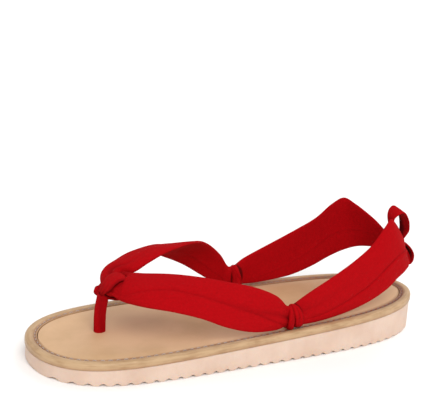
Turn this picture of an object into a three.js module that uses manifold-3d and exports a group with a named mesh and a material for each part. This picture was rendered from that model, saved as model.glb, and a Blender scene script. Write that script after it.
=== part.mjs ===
import * as THREE from 'three';
import { mergeVertices } from 'three/addons/utils/BufferGeometryUtils.js';
import Module from 'manifold-3d';

// A thong sandal with a ribbed foam wedge, a bound footbed and tied cloth straps.
// Millimetres, toe towards +X, outer side towards +Y, floor at z = 0.

// Fit between neighbouring pieces
const clearance = 0.3;

// Sole outline and wedge
const soleLength = 250;
const heelEndWidth = 72.8;
const toeEndWidth = 92.4;
const sideFullness = 1.25;
const heelSquareness = 4.4;
const toeSquareness = 5.3;
const heelHeight = 18.6;
const toeHeight = 8.5;
const topSag = 0.42;

// Ribbed tread
const treadPitch = 7.2;
const treadLand = 2.9;
const grooveDepth = 1.3;

// Bound edge of the footbed and the pad inside it
const rimOverhang = 0.5;
const rimWidth = 6.8;
const rimHeight = 3.6;
const rimOuterRadius = 1.7;
const rimInnerRadius = 0.9;
const insoleThickness = 2.7;

// Toe post and the loop that holds the two arms together over it
const postAhead = 0.328 * soleLength;
const postAside = -5;
const postRadius = 3.5;
const postBend = 0.6;
const loopBack = 6;
const loopRise = 26.8;
const loopLength = 14;
const loopHeight = 10;
const loopPitch = 0.88;
const loopThickness = 1.8;
const loopBand = 13;
const loopTaper = 0.5;
const loopShift = 5.5;
const loopEndShares = [0.25, -0.3];

// Side knots
const knotBehind = 0.08 * soleLength;
const knotOverlap = 0.5;
const knotSink = 0.9;
const knotTall = 11.2;
const knotDeep = 6.8;
const coreLong = 4.6;
const strandRadius = 1.95;
const strandTurn = 0.6;
const anchorRadius = 2.8;
const anchorInset = 0.8;

// Straps
const instepRise = 40;
const heelStrapRise = 40;
const pinchHeight = 11;
const pinchThickness = 5.5;
const pinchInside = 0.2;
const pinchOutside = 1.3;
const flankExponent = 0.75;
const faceExponent = 0.8;

// Soft crease along each strap, and the rounded fold that shows in front of the toe loop
const creaseDepth = 1.1;
const creaseWidth = 0.22;
const foldAhead = 5.2;
const foldAside = -5.4;
const foldDrop = -5.1;
const foldRadius = 3;
const foldNeck = 2.4;

// Bow behind the heel
const bowBehind = 0.47 * soleLength;
const bowRise = 29;
const bowKnotLong = 6.4;
const bowKnotWide = 9;
const bowKnotTall = 9;
const lobeShare = 0.6;
const gatherHeight = 6.5;
const gatherThickness = 4;
const gatherShares = [0.62, 0.15];
const gatherSweep = 2.9;
const bowBand = 12.5;
const bowThickness = 1.4;
const upperLoopTall = 23;
const upperLoopLong = 13;
const lowerLoopTall = 15;
const lowerLoopLong = 9.5;

// Straps by rows from their side knot onwards. Edge places are shares of the sole's length, of its half
// width there and of the strap's full rise above the footbed. Thickness and crown are shares of the
// pinch thickness, and the crease runs from -1 at the lower edge to 1 at the upper one.
const strapColumns = ['along', 'out', 'rise', 'lowAlong', 'lowOut', 'lowRise', 'thick', 'crown', 'crease'];
const outerArmRows = [
  [-0.036, 0.825, 0.525, -0.036, 0.885, 0.07, 0.85, 0.2, -0.65],
  [0.018, 0.78, 0.69, 0.028, 0.915, 0.1, 0.75, 0.3, -0.1],
  [0.083, 0.683, 0.813, 0.096, 0.925, 0.24, 0.7, 0.35, 0.12],
  [0.141, 0.536, 0.877, 0.164, 0.87, 0.425, 0.7, 0.4, 0],
  [0.193, 0.33, 0.885, 0.222, 0.742, 0.52, 0.75, 0.4, -0.08],
  [0.24, 0.12, 0.86, 0.276, 0.548, 0.58, 0.95, 0.4, -0.35],
  [0.27, 0.03, 0.845, 0.307, 0.25, 0.635, 1.3, 0.2, -0.65],
];
const innerArmRows = [
  [-0.036, 0.815, 0.588, -0.036, 0.885, 0.1, 0.85, 0.2, -0.5],
  [0.016, 0.66, 0.863, 0.012, 0.885, 0.29, 0.75, 0.4, -0.3],
  [0.072, 0.405, 1.02, 0.064, 0.857, 0.51, 0.7, 0.45, -0.1],
  [0.132, 0.2, 1.06, 0.128, 0.76, 0.725, 0.7, 0.43, 0],
  [0.176, 0.115, 1.02, 0.172, 0.68, 0.845, 0.78, 0.45, 0],
  [0.22, 0.07, 0.93, 0.218, 0.645, 0.83, 0.9, 0.47, 0],
  [0.256, 0.055, 0.855, 0.261, 0.575, 0.755, 1.05, 0.47, 0],
  [0.278, 0.15, 0.805, 0.304, 0.42, 0.675, 1.25, 0.4, 0],
];
const heelStrapRows = [
  [-0.103, 0.862, 0.47, -0.106, 0.86, 0.03, 0.9, 0.1, -0.75],
  [-0.13, 0.858, 0.56, -0.138, 0.856, 0.045, 0.8, 0.15, -0.59],
  [-0.18, 0.847, 0.7, -0.184, 0.85, 0.07, 0.65, 0.2, -0.47],
  [-0.243, 0.82, 0.873, -0.244, 0.838, 0.115, 0.6, 0.25, -0.33],
  [-0.296, 0.773, 1.056, -0.304, 0.844, 0.21, 0.55, 0.3, -0.14],
  [-0.334, 0.724, 1.26, -0.352, 0.832, 0.335, 0.55, 0.3, -0.06],
  [-0.36, 0.65, 1.365, -0.388, 0.763, 0.44, 0.55, 0.3, 0.05],
  [-0.386, 0.54, 1.27, -0.42, 0.679, 0.5, 0.6, 0.3, 0.15],
  [-0.426, 0.345, 1.045, -0.452, 0.485, 0.53, 0.7, 0.25, 0.2],
];

// Bow loops in profile, in shares of each loop's length and height from the middle of its knot, with
// the width of the band as a share of its full width and the fall of its near side in degrees.
const loopColumns = ['back', 'rise', 'wide', 'tilt'];
const upperLoopRows = [
  [-0.1, 0.04, 0.35, 8],
  [-0.4, 0.32, 0.42, 12],
  [-0.57, 0.58, 0.52, 12],
  [-0.59, 0.77, 0.64, 12],
  [-0.47, 0.89, 0.78, 14],
  [-0.25, 0.955, 0.85, 12],
  [-0.04, 0.87, 0.88, 6],
  [0.18, 0.67, 0.87, 1],
  [0.27, 0.52, 0.86, 0],
  [0.29, 0.36, 0.8, 0],
  [0.16, 0.15, 0.5, 0],
  [0.08, 0.04, 0.35, 0],
];
const lowerLoopRows = [
  [0.12, 0.03, 0.3, 0],
  [0.45, -0.04, 0.55, 0],
  [0.78, -0.25, 0.9, 0],
  [0.96, -0.48, 1, 0],
  [0.98, -0.63, 1, 0],
  [0.93, -0.78, 1, 0],
  [0.74, -0.9, 1, 0],
  [0.64, -0.86, 0.95, 0],
  [0.69, -0.7, 0.9, 0],
  [0.58, -0.45, 0.75, 0],
  [0.31, -0.22, 0.5, 0],
  [-0.1, -0.2, 0.3, 0],
];

// Facet counts
const outlineSteps = 96;
const rimSteps = 64;
const profileSteps = 16;
const grooveSteps = 4;
const sectionSteps = 16;
const cornerSteps = 3;
const roundSteps = 18;
const strandSides = 6;
const bandSteps = 10;
const stepsPerRow = 2;
const loopStepsPerRow = 2;
const postSteps = 10;
const tailSteps = 8;
const ballSides = 14;
const ballRings = 8;

// Numerical steps
const outlineStep = 1e-3;
const weldReach = 1e-5;
const tangentReach = 0.4;

const wasm = await Module();
wasm.setup();

function finish(name, color, roughness) {
  return new THREE.MeshStandardMaterial({ name, color, roughness, metalness: 0 });
}

const foam = finish('peach_foam', '#f0d0bb', 0.85);
const binding = finish('tan_binding', '#caa27c', 0.55);
const pad = finish('tan_footbed', '#d5ad87', 0.6);
const cloth = finish('red_cotton', '#bb1219', 0.9);

const up = new THREE.Vector3(0, 0, 1);
const sideways = new THREE.Vector3(0, 1, 0);

// Shape laws of the sole

function lengthShare(x) {
  return THREE.MathUtils.clamp(x / soleLength + 0.5, 0, 1);
}

function halfWidth(x) {
  const share = lengthShare(x);
  const straight = THREE.MathUtils.lerp(heelEndWidth, toeEndWidth, share) / 2;
  return straight + sideFullness * 4 * share * (1 - share);
}

function wedgeTop(x) {
  const share = lengthShare(x);
  return THREE.MathUtils.lerp(heelHeight, toeHeight, share) - topSag * 4 * share * (1 - share);
}

function footbedTop(x) {
  return wedgeTop(x) + clearance + insoleThickness;
}

function rimTop(x) {
  return wedgeTop(x) + clearance + rimHeight;
}

function edgePoint(angle) {
  const x = soleLength / 2 * Math.cos(angle);
  const squareness = THREE.MathUtils.lerp(heelSquareness, toeSquareness, lengthShare(x));
  const cap = Math.sqrt(Math.max(0, 1 - Math.abs(Math.cos(angle)) ** squareness));
  return new THREE.Vector2(x, Math.sign(Math.sin(angle)) * halfWidth(x) * cap);
}

function insetPoint(angle, inset) {
  const along = edgePoint(angle + outlineStep).sub(edgePoint(angle - outlineStep)).normalize();
  return edgePoint(angle).add(new THREE.Vector2(-along.y, along.x).multiplyScalar(inset));
}

function soleOutline(inset, steps) {
  const start = Math.PI / steps;
  return Array.from({ length: steps }, (_, i) => insetPoint(start + 2 * Math.PI * i / steps, inset));
}

// Conversions between drawn geometry and solids

function solidFrom(geometry) {
  const bare = new THREE.BufferGeometry();
  bare.setAttribute('position', geometry.getAttribute('position'));
  bare.setIndex(geometry.getIndex());
  const welded = mergeVertices(bare, weldReach);
  const vertProperties = new Float32Array(welded.getAttribute('position').array);
  const triVerts = new Uint32Array(welded.getIndex().array);
  return new wasm.Manifold(new wasm.Mesh({ numProp: 3, vertProperties, triVerts }));
}

function meshFrom(solid, name, material) {
  const result = solid.getMesh();
  const positions = new Float32Array(result.numVert * 3);
  for (let i = 0; i < result.numVert; i += 1) {
    for (let axis = 0; axis < 3; axis += 1) {
      positions[3 * i + axis] = result.vertProperties[result.numProp * i + axis];
    }
  }
  const geometry = new THREE.BufferGeometry();
  geometry.setAttribute('position', new THREE.BufferAttribute(positions, 3));
  geometry.setIndex(new THREE.BufferAttribute(new Uint32Array(result.triVerts), 1));
  geometry.computeVertexNormals();
  const mesh = new THREE.Mesh(geometry, material);
  mesh.name = name;
  return mesh;
}

function signedVolume(points, triangles) {
  let total = 0;
  for (let i = 0; i < triangles.length; i += 3) {
    const [a, b, c] = [points[triangles[i]], points[triangles[i + 1]], points[triangles[i + 2]]];
    total += a.dot(b.clone().cross(c)) / 6;
  }
  return total;
}

// Closed skin over a row of rings with equal point counts. A row that closes on itself has no ends.
function skin(rings, closed = false) {
  const count = rings[0].length;
  const points = rings.flat();
  const triangles = [];
  const spans = closed ? rings.length : rings.length - 1;
  for (let i = 0; i < spans; i += 1) {
    const here = i * count;
    const next = ((i + 1) % rings.length) * count;
    for (let j = 0; j < count; j += 1) {
      const k = (j + 1) % count;
      triangles.push(here + j, next + j, next + k, here + j, next + k, here + k);
    }
  }
  if (!closed) {
    const last = (rings.length - 1) * count;
    for (let j = 1; j < count - 1; j += 1) {
      triangles.push(0, j, j + 1, last, last + j + 1, last + j);
    }
  }
  const order = signedVolume(points, triangles) < 0 ? [0, 2, 1] : [0, 1, 2];
  const turned = [];
  for (let i = 0; i < triangles.length; i += 3) {
    turned.push(...order.map((corner) => triangles[i + corner]));
  }
  const geometry = new THREE.BufferGeometry().setFromPoints(points);
  geometry.setIndex(turned);
  return solidFrom(geometry);
}

function powered(value, exponent) {
  return Math.sign(value) * Math.abs(value) ** exponent;
}

// Ring of a flattened tube round a centre, with its width along one axis and its thickness along another.
function bandRing(centre, across, through, width, thickness, steps, bend = () => 0) {
  return Array.from({ length: steps }, (_, i) => {
    const angle = 2 * Math.PI * (i + 0.5) / steps;
    const side = powered(Math.cos(angle), flankExponent);
    const lift = powered(Math.sin(angle), faceExponent) * thickness / 2;
    return centre.clone()
      .addScaledVector(across, side * width / 2)
      .addScaledVector(through, lift + bend(side, lift));
  });
}

function ball(centre, radii) {
  const geometry = new THREE.SphereGeometry(1, ballSides, ballRings);
  geometry.scale(radii.x, radii.y, radii.z);
  geometry.translate(centre.x, centre.y, centre.z);
  return solidFrom(geometry);
}

// Sole pieces

function extruded(points, depth) {
  const shape = new THREE.Shape(points);
  return new THREE.ExtrudeGeometry(shape, { depth, bevelEnabled: false, curveSegments: 1 });
}

function outlinePrism(inset) {
  const geometry = extruded(soleOutline(inset, outlineSteps), heelHeight * 2);
  return solidFrom(geometry.translate(0, 0, -heelHeight / 2));
}

function sideSlab(lower, upper) {
  const depth = toeEndWidth * 2;
  const geometry = extruded([...lower, ...upper.reverse()], depth);
  geometry.rotateX(Math.PI / 2);
  return solidFrom(geometry.translate(0, depth / 2, 0));
}

function wedgeLine(rise) {
  const reach = soleLength / 2 + clearance;
  return Array.from({ length: profileSteps + 1 }, (_, i) => {
    const x = THREE.MathUtils.lerp(-reach, reach, i / profileSteps);
    return new THREE.Vector2(x, wedgeTop(x) + rise);
  });
}

function treadLine() {
  const reach = soleLength / 2 + clearance;
  const ribs = Math.ceil(reach / treadPitch);
  const line = [new THREE.Vector2(-reach, grooveDepth)];
  for (let rib = -ribs; rib <= ribs; rib += 1) {
    const start = rib * treadPitch - treadLand / 2;
    line.push(new THREE.Vector2(start, 0));
    for (let i = 0; i < grooveSteps; i += 1) {
      const share = i / grooveSteps;
      const x = start + treadLand + share * (treadPitch - treadLand);
      line.push(new THREE.Vector2(x, grooveDepth * Math.sin(Math.PI * share)));
    }
  }
  line.push(new THREE.Vector2(reach, grooveDepth));
  return line.filter((point) => Math.abs(point.x) <= reach);
}

function outsole() {
  return sideSlab(treadLine(), wedgeLine(0)).intersect(outlinePrism(rimOverhang));
}

function rimCorner(inset, rise, radius, from) {
  return Array.from({ length: cornerSteps + 1 }, (_, i) => {
    const angle = from + Math.PI / 2 * i / cornerSteps;
    return new THREE.Vector2(inset + radius * Math.cos(angle), rise + radius * Math.sin(angle));
  });
}

function footbedRim(swell = 0) {
  const [low, top] = [clearance - swell, clearance + rimHeight + swell];
  const [outer, inner] = [rimOuterRadius + swell, rimInnerRadius + swell];
  const section = [
    ...rimCorner(rimWidth + swell - inner, top - inner, inner, 0),
    ...rimCorner(outer - swell, top - outer, outer, Math.PI / 2),
    new THREE.Vector2(-swell, low + rimOverhang),
    new THREE.Vector2(rimOverhang - swell, low),
    new THREE.Vector2(rimWidth + swell, low),
  ];
  const outlines = section.map((corner) => soleOutline(corner.x, rimSteps));
  const rings = Array.from({ length: rimSteps }, (_, i) => section.map((corner, j) => {
    const point = outlines[j][i];
    return new THREE.Vector3(point.x, point.y, wedgeTop(point.x) + corner.y);
  }));
  return skin(rings, true);
}

function uprightHole(x, y, radius) {
  const geometry = new THREE.CylinderGeometry(radius, radius, heelHeight * 2, roundSteps);
  geometry.rotateX(Math.PI / 2);
  return solidFrom(geometry.translate(x, y, heelHeight));
}

function anchorSpot(side) {
  const inset = rimWidth + clearance + anchorInset + clearance + anchorRadius;
  return new THREE.Vector2(-knotBehind, side * (halfWidth(-knotBehind) - inset));
}

function insole() {
  const slab = sideSlab(wedgeLine(clearance), wedgeLine(clearance + insoleThickness));
  const plate = slab.intersect(outlinePrism(rimWidth + clearance));
  const holes = [uprightHole(postAhead, postAside, postRadius + clearance)];
  for (const side of [1, -1]) {
    const spot = anchorSpot(side);
    holes.push(uprightHole(spot.x, spot.y, anchorRadius + clearance));
  }
  return holes.reduce((rest, hole) => rest.subtract(hole), plate);
}

// Cloth pieces

// Round tube along a route, with flat ends.
function roundTube(points, radius, steps) {
  const path = new THREE.CatmullRomCurve3(points);
  const frames = path.computeFrenetFrames(steps, false);
  return skin(Array.from({ length: steps + 1 }, (_, i) => roundRing(
    path.getPointAt(i / steps), frames.normals[i], frames.binormals[i], radius)));
}

function roundRing(centre, across, through, radius) {
  return Array.from({ length: strandSides }, (_, i) => {
    const angle = 2 * Math.PI * i / strandSides;
    return centre.clone()
      .addScaledVector(across, radius * Math.cos(angle))
      .addScaledVector(through, radius * Math.sin(angle));
  });
}

// Oval strand round a centre, in the plane of two axes.
function strand(centre, first, second, halfFirst, halfSecond, radius) {
  const side = first.clone().cross(second).normalize();
  return skin(Array.from({ length: roundSteps }, (_, i) => {
    const angle = 2 * Math.PI * i / roundSteps;
    const outward = first.clone().multiplyScalar(Math.cos(angle)).addScaledVector(second, Math.sin(angle));
    const point = centre.clone()
      .addScaledVector(first, halfFirst * Math.cos(angle))
      .addScaledVector(second, halfSecond * Math.sin(angle));
    return roundRing(point, outward.normalize(), side, radius);
  }), true);
}

// Side knots, each of three strands round the pinched straps and a tail down into the footbed

function knotCentre(side) {
  const rise = clearance + knotTall / 2 + strandRadius - knotSink;
  const reach = halfWidth(-knotBehind) - rimWidth + knotOverlap;
  return new THREE.Vector3(-knotBehind, side * reach, rimTop(-knotBehind) + rise);
}

function knotBody(side, swell = 0) {
  const centre = knotCentre(side);
  const core = new THREE.Vector3(coreLong / 2 + swell, knotDeep / 2 + swell, knotTall / 2 + swell);
  let body = ball(centre, core);
  for (const place of [-1, 0, 1]) {
    const inward = sideways.clone().applyAxisAngle(up, place * strandTurn);
    body = body.add(strand(centre, inward, up, knotDeep / 2, knotTall / 2, strandRadius + swell));
  }
  return body;
}

// The underside is pressed flat where the knot sits on the rim.
function sideKnot(side) {
  const centre = knotCentre(side);
  const spot = anchorSpot(side);
  const ground = wedgeTop(spot.x - anchorRadius) + clearance;
  const top = new THREE.Vector3(spot.x, (spot.y + centre.y) / 2, centre.z);
  const tail = [
    top,
    new THREE.Vector3(spot.x, spot.y, footbedTop(spot.x) + clearance),
    new THREE.Vector3(spot.x, spot.y, ground),
  ];
  const cord = roundTube(tail, anchorRadius, tailSteps);
  return knotBody(side).add(cord).subtract(footbedRim(clearance));
}

// Toe post, a wrapped cord that rises near the toe end and closes in a loop over the arms

const loopLong = new THREE.Vector3(Math.cos(loopPitch), 0, -Math.sin(loopPitch));
const loopThrough = new THREE.Vector3(Math.sin(loopPitch), 0, Math.cos(loopPitch));

function loopCentre() {
  const x = postAhead - loopBack;
  return new THREE.Vector3(x, postAside, footbedTop(x) + loopRise);
}

// The band widens away from the post and shifts to the outer side.
function toeLoop(swell = 0) {
  return skin(Array.from({ length: roundSteps }, (_, i) => {
    const angle = 2 * Math.PI * i / roundSteps;
    const nearPost = Math.max(0, Math.cos(angle));
    const point = loopCentre()
      .addScaledVector(loopLong, loopLength / 2 * Math.cos(angle))
      .addScaledVector(loopThrough, loopHeight / 2 * Math.sin(angle))
      .addScaledVector(sideways, loopShift * (1 - nearPost ** 3));
    const outward = loopLong.clone().multiplyScalar(Math.cos(angle) / loopLength)
      .addScaledVector(loopThrough, Math.sin(angle) / loopHeight).normalize();
    const width = loopBand * (1 - loopTaper * nearPost ** 2) + 2 * swell;
    return bandRing(point, sideways, outward, width, loopThickness + 2 * swell, bandSteps);
  }), true);
}

function postBody(swell = 0) {
  const top = loopCentre().addScaledVector(loopLong, loopLength / 2);
  const ground = wedgeTop(postAhead - postRadius) + clearance;
  const bend = THREE.MathUtils.lerp(ground, top.z, postBend);
  const middle = new THREE.Vector3(postAhead, postAside, bend);
  const base = new THREE.Vector3(postAhead, postAside, ground);
  return roundTube([top, middle, base], postRadius + swell, postSteps);
}

function toePost() {
  return toeLoop().add(postBody());
}

// Straps, each a flattened tube between an upper and a lower edge

function namedRows(columns, table) {
  return table.map((values) => Object.fromEntries(columns.map((column, i) => [column, values[i]])));
}

function curveThrough(rows, key) {
  return new THREE.CatmullRomCurve3(rows.map((row) => row[key]), false, 'centripetal');
}

function edgePlace(along, out, rise, side, fullRise) {
  const x = along * soleLength;
  return new THREE.Vector3(x, side * out * halfWidth(x), footbedTop(x) + rise * fullRise);
}

function tableRows(table, side, fullRise) {
  return namedRows(strapColumns, table).map((row) => ({
    upper: edgePlace(row.along, row.out, row.rise, side, fullRise),
    lower: edgePlace(row.lowAlong, row.lowOut, row.lowRise, side, fullRise),
    shape: new THREE.Vector3(row.thick * pinchThickness, row.crown * pinchThickness, row.crease),
  }));
}

function endRow(centre, upward, height, thickness) {
  return {
    upper: centre.clone().addScaledVector(upward, height / 2),
    lower: centre.clone().addScaledVector(upward, -height / 2),
    shape: new THREE.Vector3(thickness, 0, 0),
  };
}

function knotEnd(side, share) {
  const spread = knotDeep / 2 * Math.sin(strandTurn) + strandRadius;
  const centre = knotCentre(side).add(new THREE.Vector3(share * spread, 0, 0));
  return endRow(centre, up, pinchHeight, pinchThickness);
}

function strap(rows, face) {
  const [upper, lower, shape] = ['upper', 'lower', 'shape'].map((key) => curveThrough(rows, key));
  const middle = (share) => upper.getPoint(share).lerp(lower.getPoint(share), 0.5);
  const steps = (rows.length - 1) * stepsPerRow;
  return skin(Array.from({ length: steps + 1 }, (_, i) => {
    const share = i / steps;
    const reach = tangentReach / steps;
    const ahead = middle(Math.min(1, share + reach)).sub(middle(Math.max(0, share - reach)));
    const across = upper.getPoint(share).sub(lower.getPoint(share));
    const width = across.length();
    across.normalize();
    const through = across.clone().cross(ahead).setLength(face);
    const { x: thickness, y: crown, z: crease } = shape.getPoint(share);
    const bend = (place, lift) => {
      const trough = lift > 0 ? creaseDepth * Math.exp(-(((place - crease) / creaseWidth) ** 2)) : 0;
      return crown * (1 - place * place) - trough * Math.min(1, Math.abs(lift) / thickness * 2);
    };
    return bandRing(middle(share), across, through, width, thickness, sectionSteps, bend);
  }));
}

function armRows(table, side) {
  const upward = loopLong.clone().negate();
  const height = loopLength - loopThickness;
  const thickness = loopHeight - loopThickness;
  const ends = loopEndShares.map((share) => {
    const shift = loopShift + side * share * loopBand;
    return endRow(loopCentre().addScaledVector(sideways, shift), upward, height, thickness);
  });
  const starts = [pinchInside, pinchOutside].map((share) => knotEnd(side, share));
  return [...starts, ...tableRows(table, side, instepRise), ...ends];
}

function frontStraps() {
  const outerArm = strap(armRows(outerArmRows, 1), 1);
  const innerArm = strap(armRows(innerArmRows, -1), -1);
  const root = loopCentre().addScaledVector(sideways, foldAside);
  const tip = root.clone().add(new THREE.Vector3(foldAhead, 0, foldDrop));
  const neck = roundTube([root, tip], foldNeck, 1);
  const fold = ball(tip, new THREE.Vector3().setScalar(foldRadius)).add(neck);
  return outerArm.add(innerArm).add(fold)
    .subtract(toeLoop(clearance))
    .subtract(postBody(clearance))
    .subtract(knotBody(1, clearance))
    .subtract(knotBody(-1, clearance));
}

// Bow behind the heel

function bowCentre() {
  return new THREE.Vector3(-bowBehind, 0, footbedTop(-bowBehind) + bowRise);
}

function bowKnot(swell = 0) {
  const [long, wide, tall] = [bowKnotLong / 2, bowKnotWide / 2, bowKnotTall / 2];
  const lobe = tall * lobeShare;
  const core = new THREE.Vector3(long * lobeShare + swell, wide * lobeShare + swell, tall + swell);
  let body = ball(bowCentre(), core);
  for (const place of [-1, 1]) {
    const spot = bowCentre().add(new THREE.Vector3(0, 0, place * (tall - lobe)));
    body = body.add(ball(spot, new THREE.Vector3(long + swell, wide + swell, lobe + swell)));
  }
  return body;
}

function bowLoop(table, long, tall, swell = 0) {
  const rows = namedRows(loopColumns, table).map((row) => ({
    place: bowCentre().add(new THREE.Vector3(-row.back * long, 0, row.rise * tall)),
    form: new THREE.Vector3(row.wide * bowBand, THREE.MathUtils.degToRad(row.tilt), 0),
  }));
  const path = curveThrough(rows, 'place');
  const forms = curveThrough(rows, 'form');
  const steps = (rows.length - 1) * loopStepsPerRow;
  return skin(Array.from({ length: steps + 1 }, (_, i) => {
    const share = i / steps;
    const { x: width, y: tilt } = forms.getPoint(share);
    const across = sideways.clone().multiplyScalar(Math.cos(tilt)).addScaledVector(up, -Math.sin(tilt));
    const outward = path.getTangent(share).cross(across).normalize();
    const [wide, thick] = [width + 2 * swell, bowThickness + 2 * swell];
    return bandRing(path.getPoint(share), across, outward, wide, thick, bandSteps);
  }));
}

function upperBowLoop(swell = 0) {
  return bowLoop(upperLoopRows, upperLoopLong, upperLoopTall, swell);
}

function lowerBowLoop(swell = 0) {
  return bowLoop(lowerLoopRows, lowerLoopLong, lowerLoopTall, swell);
}

function heelStrap(side) {
  const ends = gatherShares.map((share) => {
    const shift = new THREE.Vector3(share * gatherSweep, side * share * bowKnotWide, 0);
    return endRow(bowCentre().add(shift), up, gatherHeight, gatherThickness);
  });
  const rows = [knotEnd(side, -pinchInside), ...tableRows(heelStrapRows, side, heelStrapRise), ...ends];
  return strap(rows, -side)
    .subtract(knotBody(side, clearance))
    .subtract(bowKnot(clearance))
    .subtract(upperBowLoop(clearance))
    .subtract(lowerBowLoop(clearance));
}

const sandal = new THREE.Group();
sandal.name = 'thong_sandal';
sandal.add(meshFrom(outsole(), 'outsole', foam));
sandal.add(meshFrom(footbedRim(), 'footbed_rim', binding));
sandal.add(meshFrom(insole(), 'insole', pad));
sandal.add(meshFrom(toePost(), 'toe_post', cloth));
sandal.add(meshFrom(frontStraps(), 'front_straps', cloth));
for (const [side, place] of [[1, 'lateral'], [-1, 'medial']]) {
  sandal.add(meshFrom(sideKnot(side), `side_knot_${place}`, cloth));
  sandal.add(meshFrom(heelStrap(side), `heel_strap_${place}`, cloth));
}
sandal.add(meshFrom(bowKnot(), 'bow_knot', cloth));
sandal.add(meshFrom(upperBowLoop().subtract(bowKnot(clearance)), 'bow_loop_upper', cloth));
sandal.add(meshFrom(lowerBowLoop().subtract(bowKnot(clearance)), 'bow_loop_lower', cloth));

export default sandal;
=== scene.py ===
"""A thong sandal with a ribbed foam wedge, a bound footbed and tied cloth straps, dressed over its CAD frame.

Lengths are millimetres until a mesh is made. The toe points to +X and the outer side to +Y.
"""

import logging
import math
from dataclasses import dataclass, field
from enum import Enum

import bpy
import numpy as np
from mathutils import Matrix


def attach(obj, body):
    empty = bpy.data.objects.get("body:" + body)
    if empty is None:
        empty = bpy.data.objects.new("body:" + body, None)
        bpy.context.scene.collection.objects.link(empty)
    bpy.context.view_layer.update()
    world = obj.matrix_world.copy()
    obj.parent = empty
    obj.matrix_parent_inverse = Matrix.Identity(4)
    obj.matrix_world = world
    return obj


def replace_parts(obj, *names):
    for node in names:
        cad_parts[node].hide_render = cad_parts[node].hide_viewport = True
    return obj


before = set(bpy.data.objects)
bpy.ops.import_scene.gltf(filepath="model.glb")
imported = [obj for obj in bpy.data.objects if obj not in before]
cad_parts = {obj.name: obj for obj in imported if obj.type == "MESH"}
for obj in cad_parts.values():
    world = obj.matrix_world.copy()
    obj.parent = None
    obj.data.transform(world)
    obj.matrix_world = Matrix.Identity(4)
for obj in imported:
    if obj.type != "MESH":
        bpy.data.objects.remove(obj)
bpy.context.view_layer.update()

MM = 0.001
ROOT = "root"
PHOTO_WIDTH = 425
SENSOR_WIDTH = 36.0
PINCH_HEIGHT = 11.0
PINCH_THICKNESS = 5.5
BAND_PLEATS = 3.4
UP = np.array([0.0, 0.0, 1.0])
AHEAD = np.array([1.0, 0.0, 0.0])
SIDEWAYS = np.array([0.0, 1.0, 0.0])
COLOURS = {"data_type": "RGBA"}
SINE = {"operation": "SINE"}
TIMES = {"operation": "MULTIPLY"}
TIMES_PLUS = {"operation": "MULTIPLY_ADD"}
log = logging.getLogger("sandal")


class Side(Enum):
    """Side of the sandal that a piece belongs to; the value is the sign of Y."""

    OUTER = 1
    INNER = -1


class Finish(Enum):
    """The record's material slots."""

    FOAM = "peach_foam"
    BINDING = "tan_binding"
    FOOTBED = "tan_footbed"
    COTTON = "red_cotton"


# Curves and grids


def spline(points: np.ndarray, shares: np.ndarray) -> np.ndarray:
    """Centripetal Catmull-Rom curve through a row of points, with a share of the rows as its parameter.

    Each span is a cubic whose end slopes come from the square roots of the neighbouring chord lengths.

    Args:
        points: one row per point.
        shares: places from 0 at the first row to 1 at the last.

    Returns:
        One row per share.
    """
    padded = np.vstack([2 * points[0] - points[1], points, 2 * points[-1] - points[-2]])
    spot = np.clip(shares, 0, 1) * (len(points) - 1)
    index = np.minimum(spot.astype(int), len(points) - 2)
    along = (spot - index)[:, None]
    before, start, end, after = (padded[index + step] for step in range(4))
    gaps = [np.sqrt(np.linalg.norm(b - a, axis=1))[:, None] for a, b in ((before, start), (start, end), (end, after))]
    first, middle, last = (np.maximum(gap, 1e-6) for gap in gaps)
    leave = ((start - before) / first - (end - before) / (first + middle) + (end - start) / middle) * middle
    arrive = ((end - start) / middle - (after - start) / (middle + last) + (after - end) / last) * middle
    square = along ** 2
    cube = along ** 3
    return ((2 * cube - 3 * square + 1) * start + (cube - 2 * square + along) * leave
            + (3 * square - 2 * cube) * end + (cube - square) * arrive)


def unit(vectors: np.ndarray) -> np.ndarray:
    """Vectors scaled to length 1 along the last axis."""
    return vectors / np.maximum(np.linalg.norm(vectors, axis=-1, keepdims=True), 1e-12)


def powered(values: np.ndarray, exponent: float) -> np.ndarray:
    """Signed power, which squares off a circle's cosine and sine."""
    return np.sign(values) * np.abs(values) ** exponent


def turns(count: int) -> np.ndarray:
    """Angles evenly round a circle, half a step in from zero."""
    return 2 * math.pi * (np.arange(count) + 0.5) / count


def run_along(path: np.ndarray) -> np.ndarray:
    """Distance along a row of points from the first one."""
    return np.concatenate([[0], np.cumsum(np.linalg.norm(np.diff(path, axis=0), axis=1))])


def flat_oval(count: int) -> tuple[np.ndarray, np.ndarray, np.ndarray]:
    """A squared-off oval section, from powers of the cosine and the sine.

    Args:
        count: points round it.

    Returns:
        Place across it and height through it, from -1 to 1, and which points are on the outer face.
    """
    angle = turns(count)[None, :]
    return powered(np.cos(angle), 0.75), powered(np.sin(angle), 0.8), np.sin(angle) > 0


def sweep(path: np.ndarray, first: np.ndarray, second: np.ndarray, along_first: np.ndarray,
          along_second: np.ndarray) -> np.ndarray:
    """Carries a section along a path: each point is the path's plus its distances in two directions.

    Args:
        path: one point for each row.
        first: the section's first direction, for each row or for all.
        second: its second direction, the same way.
        along_first: distances in the first direction, rows by columns.
        along_second: distances in the second direction, rows by columns.

    Returns:
        Points, rows by columns by 3.
    """
    return (path[:, None] + first[..., None, :] * along_first[..., None]
            + second[..., None, :] * along_second[..., None])


def waves(angle: np.ndarray) -> np.ndarray:
    """A cosine wave moved to run from 0 to 1."""
    return 0.5 + 0.5 * np.cos(angle)


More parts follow.
